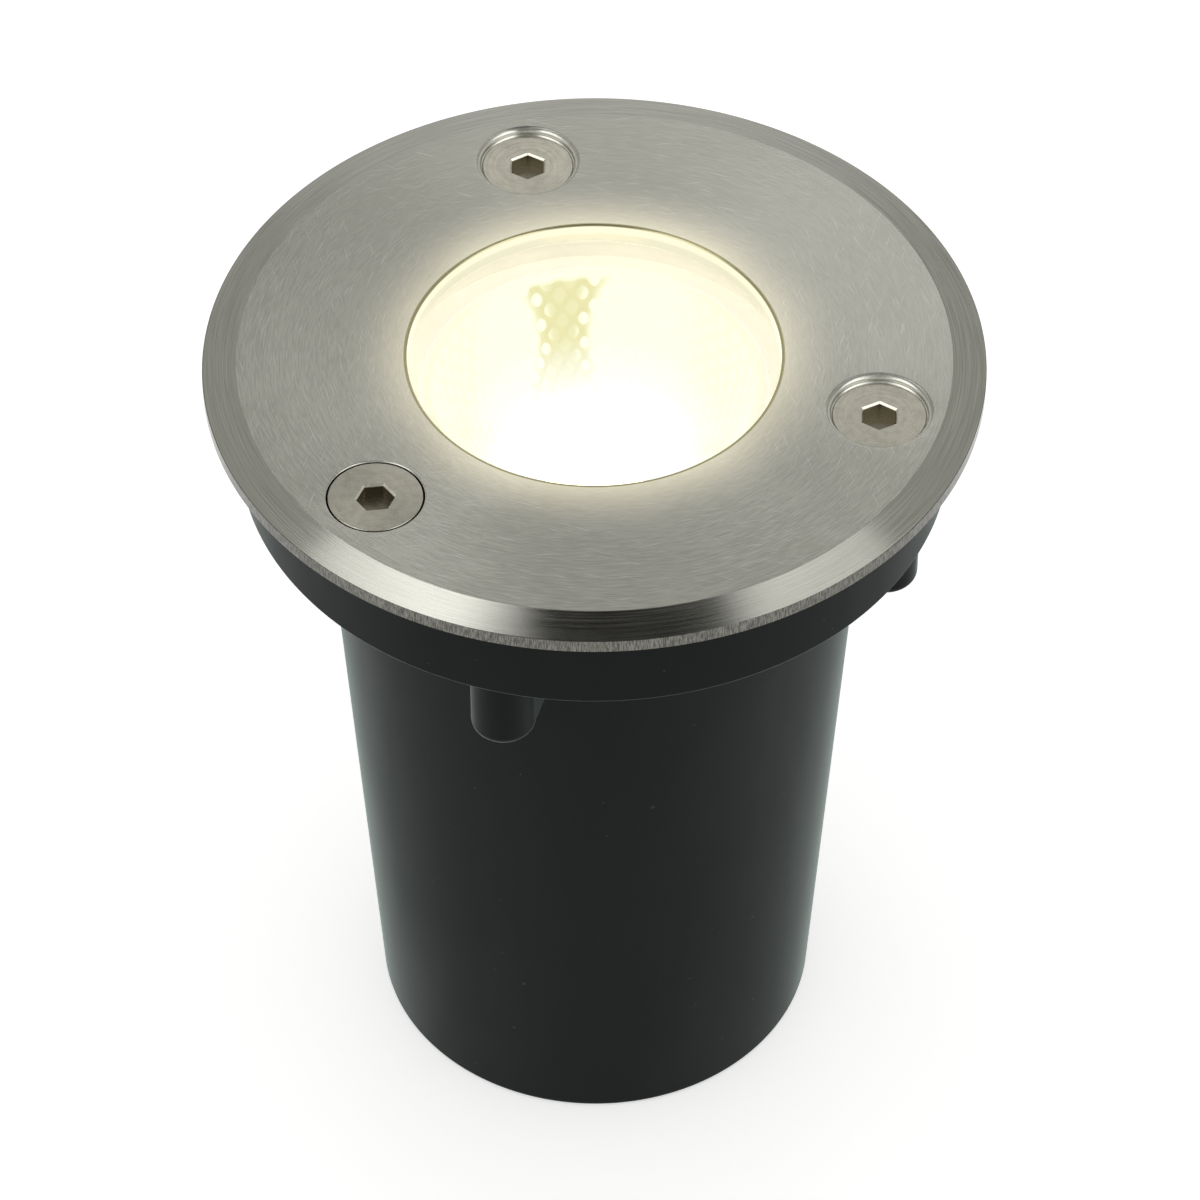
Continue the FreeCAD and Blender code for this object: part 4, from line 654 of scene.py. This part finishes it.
# ------------------------------------------------------------------ the sleeve
def make_sleeve():
    """Tapered tube with its collar and four blind bosses."""
    outline = [(12.0, 0.0), (32.8, 0.0), (39.3, 109.2), (50.5, 109.2), (50.5, 123.7), (48.0, 123.7),
               (48.0, 111.7), (36.8, 111.7), (30.479, 3.0), (12.0, 3.0)]
    rounding = [0.3, 1.0, 0.5, 0.45, 0.3, 0.3, 0.4, 0.4, 0.8, 0.3]
    sleeve = lathe("sleeve_moulding", soften(outline, rounding), 240)
    boss_foot, boss_top, bore_foot, bore_top = 95.3, 110.4, 97.8, 113.0
    web_foot, web_top, web_root = 96.8, 110.35, 37.6
    posts, bores = [], []
    for azimuth in BOSS_AZIMUTHS:
        spot = on_circle(BOSS_CIRCLE, azimuth)
        c, s = on_circle(1.0, azimuth)
        shape = [(0.0, boss_foot), (BOSS_R, boss_foot), (BOSS_R, boss_top), (0.0, boss_top)]
        shape = soften(shape, [0, 1.5, 0, 0], 8)
        posts.append(lathe("boss_tool", shape, 64, spot))
        # a web as wide as the boss ties it to the tube
        inner, half = web_root - BOSS_CIRCLE, BOSS_R - 0.02
        flat = [(inner, -half), (0.0, -half), (0.0, half), (inner, half)]
        corners = [(a * c - b * s, a * s + b * c) for a, b in flat]
        posts.append(prism("web_tool", corners, web_foot, web_top, spot))
        bore = [(0.0, bore_foot), (BOSS_BORE_R, bore_foot), (BOSS_BORE_R, bore_top), (0.0, bore_top)]
        bores.append(lathe("bore_tool", bore, 48, spot))
    combine(sleeve, posts, "UNION")
    combine(sleeve, bores, "DIFFERENCE")
    return dress(shade(sleeve, 35.0), moulded_sleeve(), "sleeve", "black_moulded_plastic",
                 "installation_sleeve")


# ------------------------------------------------------------------ the lamp
def facet_tree(material):
    """Geometry nodes: pillow-shaped facets set in staggered rows on the bowl."""
    tree, given = new_grower("reflector_facets", "Facets", {
        "Rows": 15, "Facets per row": 40, "Rim radius": 0.023, "Throat radius": 0.008, "Depth": 0.019,
        "Floor height": 0.1001, "Flare": 0.55, "Pillow height": 0.00022})
    rows, per_row = given["Rows"], given["Facets per row"]
    count = add(tree, MATH, rows, per_row, **TIMES)
    points = add(tree, "GeometryNodeMeshLine", named={"Count": count}, mode="OFFSET")
    index = add(tree, "GeometryNodeInputIndex")
    row = add(tree, MATH, add(tree, MATH, index, 0.5, **PLUS), per_row, **OVER)
    row = add(tree, MATH, row, operation="FLOOR")
    column = add(tree, MATH, index, add(tree, MATH, row, per_row, **TIMES), **MINUS)
    shift = add(tree, MATH, add(tree, MATH, row, 2.0, operation="MODULO"), 0.5, **TIMES)
    angle = add(tree, MATH, add(tree, MATH, column, shift, **PLUS), per_row, **OVER)
    angle = add(tree, MATH, angle, 2 * math.pi, **TIMES)
    cosine, sine = (add(tree, MATH, angle, operation=name) for name in ("COSINE", "SINE"))
    span = add(tree, MATH, given["Rim radius"], given["Throat radius"], **MINUS)

    def bowl(offset):
        """Radius and height of the bowl at a row."""
        part = add(tree, MATH, add(tree, MATH, row, offset, **PLUS), rows, **OVER)
        part = add(tree, MATH, part, CROWDING, **POWER)
        wide = add(tree, MATH, span, add(tree, MATH, part, given["Flare"], **POWER), **TIMES)
        return (add(tree, MATH, given["Throat radius"], wide, **PLUS),
                add(tree, MATH, part, given["Depth"], **TIMES))

    (radius, height), (outer_r, outer_h), (inner_r, inner_h) = bowl(0.5), bowl(1.0), bowl(0.0)
    run = add(tree, MATH, outer_r, inner_r, **MINUS)
    climb = add(tree, MATH, outer_h, inner_h, **MINUS)
    squares = (add(tree, MATH, side, side, **TIMES) for side in (run, climb))
    step = add(tree, MATH, add(tree, MATH, *squares, **PLUS), **ROOT)
    spot = add(tree, XYZ, add(tree, MATH, radius, cosine, **TIMES), add(tree, MATH, radius, sine, **TIMES),
               add(tree, MATH, height, given["Floor height"], **PLUS))
    fall = add(tree, MATH, climb, -1.0, **TIMES)
    inward = add(tree, XYZ, add(tree, MATH, fall, cosine, **TIMES), add(tree, MATH, fall, sine, **TIMES), run)
    around = add(tree, XYZ, add(tree, MATH, sine, -1.0, **TIMES), cosine, 0.0)
    placed = add(tree, "GeometryNodeSetPosition", named={"Geometry": points, "Position": spot})

    # one facet: a small grid, pushed up in the middle, standing on its corner
    grid = add(tree, "GeometryNodeMeshGrid", 2.0, 2.0, 6, 6)
    u, v, _ = add(tree, "ShaderNodeSeparateXYZ", add(tree, "GeometryNodeInputPosition"), out=None)
    arches = (add(tree, MATH, 1.0, add(tree, MATH, side, side, **TIMES), **MINUS) for side in (u, v))
    dome = add(tree, MATH, *arches, **TIMES)
    across = add(tree, MATH, add(tree, MATH, u, v, **MINUS), 0.5, **TIMES)
    upward = add(tree, MATH, add(tree, MATH, u, v, **PLUS), 0.5, **TIMES)
    marked = add(tree, "GeometryNodeStoreNamedAttribute", data_type="FLOAT", domain="POINT",
                 named={"Name": "facet_dome", "Geometry": grid, "Value": dome})
    pillow = add(tree, "GeometryNodeSetPosition", named={
        "Geometry": marked, "Position": add(tree, XYZ, across, upward, dome)})
    pillow = add(tree, "GeometryNodeSetShadeSmooth", pillow, named={"Shade Smooth": True})
    lean = add(tree, "FunctionNodeAxesToRotation", primary_axis="Z", secondary_axis="X",
               named={"Primary Axis": inward, "Secondary Axis": around})
    # each facet is a little larger than its place, so that no gap shows between two
    half = add(tree, MATH, add(tree, MATH, radius, math.pi, **TIMES), per_row, **OVER)
    size = add(tree, XYZ, add(tree, MATH, half, 1.02, **TIMES), add(tree, MATH, step, 1.04, **TIMES),
               given["Pillow height"])
    set_out = add(tree, "GeometryNodeInstanceOnPoints", named={
        "Points": placed, "Instance": pillow, "Rotation": lean, "Scale": size})
    return close_grower(tree, set_out, material)


def bowl_points(wall=0.0, steps=24):
    """Outline of the bowl from its throat to its rim, moved outward by the wall."""
    parts = [(k / steps) ** CROWDING for k in range(steps + 1)]
    return [(THROAT_R + BOWL_SPREAD * p ** BOWL_FLARE + wall, BOWL_FOOT + BOWL_DEPTH * p) for p in parts]


def make_shell(material):
    """Moulded body of the lamp: base, neck and taper, hollow for the bowl and the chip."""
    base_r, neck_r, rim_r, chip_floor = 12.0, 15.5, 25.0, 98.9
    foot, base_top, neck_top, taper_top = 71.1, 75.1, 81.1, 114.5
    outside = [(0.0, foot), (base_r, foot), (base_r, base_top), (neck_r, base_top), (neck_r, neck_top),
               (rim_r, taper_top), (rim_r, BOWL_FOOT + BOWL_DEPTH)]
    rounding = [0, 0.5, 0.4, 0.5, 1.5, 1.0, 0.2]
    body = soften(outside, rounding, 4)
    cavity = bowl_points(BOWL_WALL)[::-1] + [(CHIP_R, BOWL_FOOT), (CHIP_R, chip_floor), (0.0, chip_floor)]
    shell = lathe("lamp_shell_moulding", body + cavity, 128)
    return dress(shade(shell, 40.0), material, "lamp", "white_plastic", "lamp_shell")


def make_reflector():
    """Bowl of the lamp: a thin shell with a lip, and its facets a hair above the inner face."""
    inner, outer = bowl_points(), bowl_points(BOWL_WALL)
    # a lip on the bowl's foot closes the ring round the chip
    lip = [(CHIP_R, BOWL_FOOT), (CHIP_R, BOWL_FOOT + 0.15), (THROAT_R - 0.1, BOWL_FOOT + 0.15)]
    rim = [(THROAT_R + BOWL_SPREAD + 0.3, BOWL_FOOT + BOWL_DEPTH)]
    shell = lathe("reflector_bowl", lip + inner[1:-1] + rim + outer[::-1], 160)
    shade(shell, 40.0)
    mirror = metallised_reflector()
    facets = grown("reflector_facets", facet_tree(mirror), {
        "Rows": 15, "Facets per row": 40, "Rim radius": 0.02298, "Throat radius": 0.00805,
        "Depth": 0.01895, "Floor height": 0.10012, "Flare": BOWL_FLARE, "Pillow height": 0.00025})
    return dress(merge(shell, facets), mirror, "lamp", "reflector_metallised", "lamp_reflector")


# ------------------------------------------------------------------ the rest of the solids
def dress_solids():
    """Materials of the CAD solids that stay; the last two numbers are a glow and where it starts."""
    rubber = soft_moulding("epdm_rubber_moulded", "#17181A", "#1F2021", 0.62, 1.5, 0.25)
    silicone = soft_moulding("silicone_moulded_clear", "#DEDCD0", "#E8E6DA", 0.42, 1.41, 0.3, 0.52, 100.0)
    white = soft_moulding("pbt_moulded_white", "#DEDCD2", "#E8E6DD", 0.38, 1.55, 0.25)
    ring = soft_moulding("pbt_moulded_ivory", "#D6D4C8", "#E0DED3", 0.42, 1.55, 0.25, 0.63, 100.0)
    shell = soft_moulding("pbt_moulded_white_lamp", "#D9D7CC", "#E4E2D8", 0.38, 1.55, 0.25, 0.64, 117.5)
    ceramic = soft_moulding("steatite_fired", "#E1DED2", "#ECE9DF", 0.55, 1.6, 0.2)
    nylon = soft_moulding("nylon_moulded_black", "#1A1B1D", "#222426", 0.36, 1.53, 0.2)
    zinc = plated_metal("steel_zinc_plated", "#B9BDC1", "#CDD0D1", 0.28)
    nickel = plated_metal("brass_nickel_plated", "#C9C4B4", "#DAD6C8", 0.22)
    for names, material in (
            (("flange_gasket", "gland_washer", "gland_seal"), rubber),
            (("upper_glass_seal", "lower_glass_seal"), silicone),
            (("terminal_block",), white),
            (("lamp_centring_ring",), ring),
            (("lampholder",), ceramic),
            (("gland_body", "gland_nut", "gland_cap"), nylon),
            (("holder_screws", "lampholder_bracket", "bracket_screws", "terminal_screws",
              "earth_screw"), zinc),
            (("lamp_pins", "holder_contacts", "earth_terminal"), nickel),
            (("lamp_housing",), die_cast_aluminium()),
            (("front_glass",), toughened_glass()),
            (("led_module",), lit_phosphor()),
            (("lead_live",), insulated_wire("pvc_extruded_brown", "#4A2A17", "#54311C")),
            (("lead_neutral",), insulated_wire("pvc_extruded_blue", "#1D4E9B", "#2459A6")),
            (("lead_earth",), insulated_wire("pvc_extruded_green_yellow", "#2E7D32", "#388A3B", "#E6C822"))):
        for name in names:
            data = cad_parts[name].data
            data.materials.clear()
            data.materials.append(material)
    make_shell(shell)


# ------------------------------------------------------------------ studio
def seen_directly(tree):
    """1 for camera, mirror and glass rays, 0 for the light that falls on things."""
    path = add(tree, "ShaderNodeLightPath", out=None)
    either = add(tree, MATH, path["Is Camera Ray"], path["Is Glossy Ray"], **LARGER)
    return add(tree, MATH, either, path["Is Transmission Ray"], **LARGER)


def studio_walls():
    """The world. Metal and glass see walls that are pale at the floor and greyer above, an unlit gap
    of the ceiling between the softboxes, and two bright walls beside the camera, which only rounded
    and chamfered edges mirror. Everything else gets plain even light."""
    world = bpy.data.worlds.new("studio_walls")
    bpy.context.scene.world = world
    world.use_nodes = True
    tree = world.node_tree
    tree.nodes.clear()
    way = add(tree, "ShaderNodeTexCoord", out="Generated")
    side, back, up = add(tree, "ShaderNodeSeparateXYZ", way, out=None)
    walls = add(tree, "ShaderNodeValToRGB", up)
    steps = walls.node.color_ramp.elements
    steps[0].position, steps[0].color = 0.0, srgb("#F4F4F2")
    steps[1].position, steps[1].color = 1.0, srgb("#A4A49F")
    for height, code in ((0.25, "#DCDCD8"), (0.42, "#AEAEA9"), (0.62, "#93938E"), (0.85, "#8D8D88")):
        steps.new(height).color = srgb(code)

    def region(*limits):
        """1 where every part of the direction is past its limits, low to high or high to low."""
        inside = 1.0
        for along, start, end in limits:
            inside = add(tree, MATH, inside, add(tree, RANGE, along, start, end, **SMOOTH), **TIMES)
        return inside

    aside = add(tree, MATH, side, **SIZE)
    middle = add(tree, MATH, add(tree, MATH, side, 0.02, **MINUS), **SIZE)
    colour = walls
    for part, tint in (
            (region((aside, 0.16, 0.32), (up, 0.3, 0.55)), srgb("#ACACA6")),
            (region((aside, 0.30, 0.45), (back, 0.0, -0.2), (up, 0.2, 0.4)), (2.0, 2.0, 1.96, 1.0)),
            (region((middle, 0.17, 0.09), (back, 0.60, 0.50), (back, 0.09, 0.21), (up, 0.3, 0.6)),
             srgb("#0B0B0A"))):
        colour = add(tree, MIX, part, named={6: colour, 7: tint}, **COLOURS)
    colour = add(tree, MIX, seen_directly(tree), named={6: srgb("#DEDEDD"), 7: colour}, **COLOURS)
    sky = add(tree, "ShaderNodeBackground", colour, 1.0)
    add(tree, "ShaderNodeOutputWorld", sky, out=None)


def studio_floor():
    """Matt white paper, lifted to the backdrop's white where it is seen directly."""
    half = 3000.0
    floor = prism("studio_floor", [(-half, -half), (half, -half), (half, half), (-half, half)], -1.0, -0.0)
    material, tree = new_material("paper_white_matt")
    spot, *_ = place(tree)
    fibre = add(tree, NOISE, spot, None, 0.8, 2.0, 0.5)
    colour = add(tree, MIX, fibre, named={6: srgb("#EDEDEC"), 7: srgb("#F1F1F0")}, **COLOURS)
    paper = add(tree, "ShaderNodeBsdfPrincipled", named={"Roughness": 0.9, "IOR": 1.3, "Base Color": colour})
    glow = add(tree, MATH, seen_directly(tree), 0.50, **TIMES)
    lift = add(tree, "ShaderNodeEmission", (1.0, 1.0, 1.0, 1.0), glow)
    add(tree, "ShaderNodeOutputMaterial", add(tree, "ShaderNodeAddShader", paper, lift), out=None)
    floor.data.materials.append(material)


def softboxes():
    """Three overhead lights: the way to each from the middle of the lamp, its distance, size,
    radiance and colour."""
    aim = Vector((0, 0, 0.1))
    for name, way, far, size, radiance, colour in (
            ("softbox_left", (-0.190, 0.375, 0.90), 1.2, (0.195, 0.30), 1.70, "#FFFEFB"),
            ("softbox_right", (0.232, 0.38, 0.885), 1.2, (0.10, 0.27), 1.30, "#FFFEFB"),
            ("softbox_back", (0.07, 0.765, 0.64), 1.5, (0.44, 0.30), 0.74, "#FFFEFA")):
        light = bpy.data.lights.new(name, "AREA")
        light.shape = "RECTANGLE"
        light.size, light.size_y = size
        light.energy = radiance * math.pi * size[0] * size[1]
        light.color = srgb(colour)[:3]
        lamp = bpy.data.objects.new(name, light)
        lamp.location = Vector(way).normalized() * far + aim
        lamp.rotation_euler = (aim - lamp.location).to_track_quat("-Z", "Y").to_euler()
        bpy.context.scene.collection.objects.link(lamp)


def camera():
    """The photograph's view: 0.85 m from the light, turned 43.9 degrees up from straight down."""
    view = bpy.data.cameras.new("camera")
    view.lens = 175.17
    view.sensor_width = 36.0
    view.clip_start = 0.01
    view.clip_end = 20.0
    holder = bpy.data.objects.new("camera", view)
    holder.location = (0.00075, -0.59202, 0.69305)
    lean = Matrix.Rotation(math.radians(43.854), 3, "X") @ Matrix.Rotation(math.radians(-0.084), 3, "Z")
    holder.rotation_euler = lean.to_euler()
    bpy.context.scene.collection.objects.link(holder)
    bpy.context.scene.camera = holder


camera()
studio_walls()
studio_floor()
softboxes()
dress_solids()
make_bezel()
for entry in SCREWS:
    make_screw(*entry)
make_sleeve()
make_reflector()

bpy.context.scene.view_settings.view_transform = "Standard"
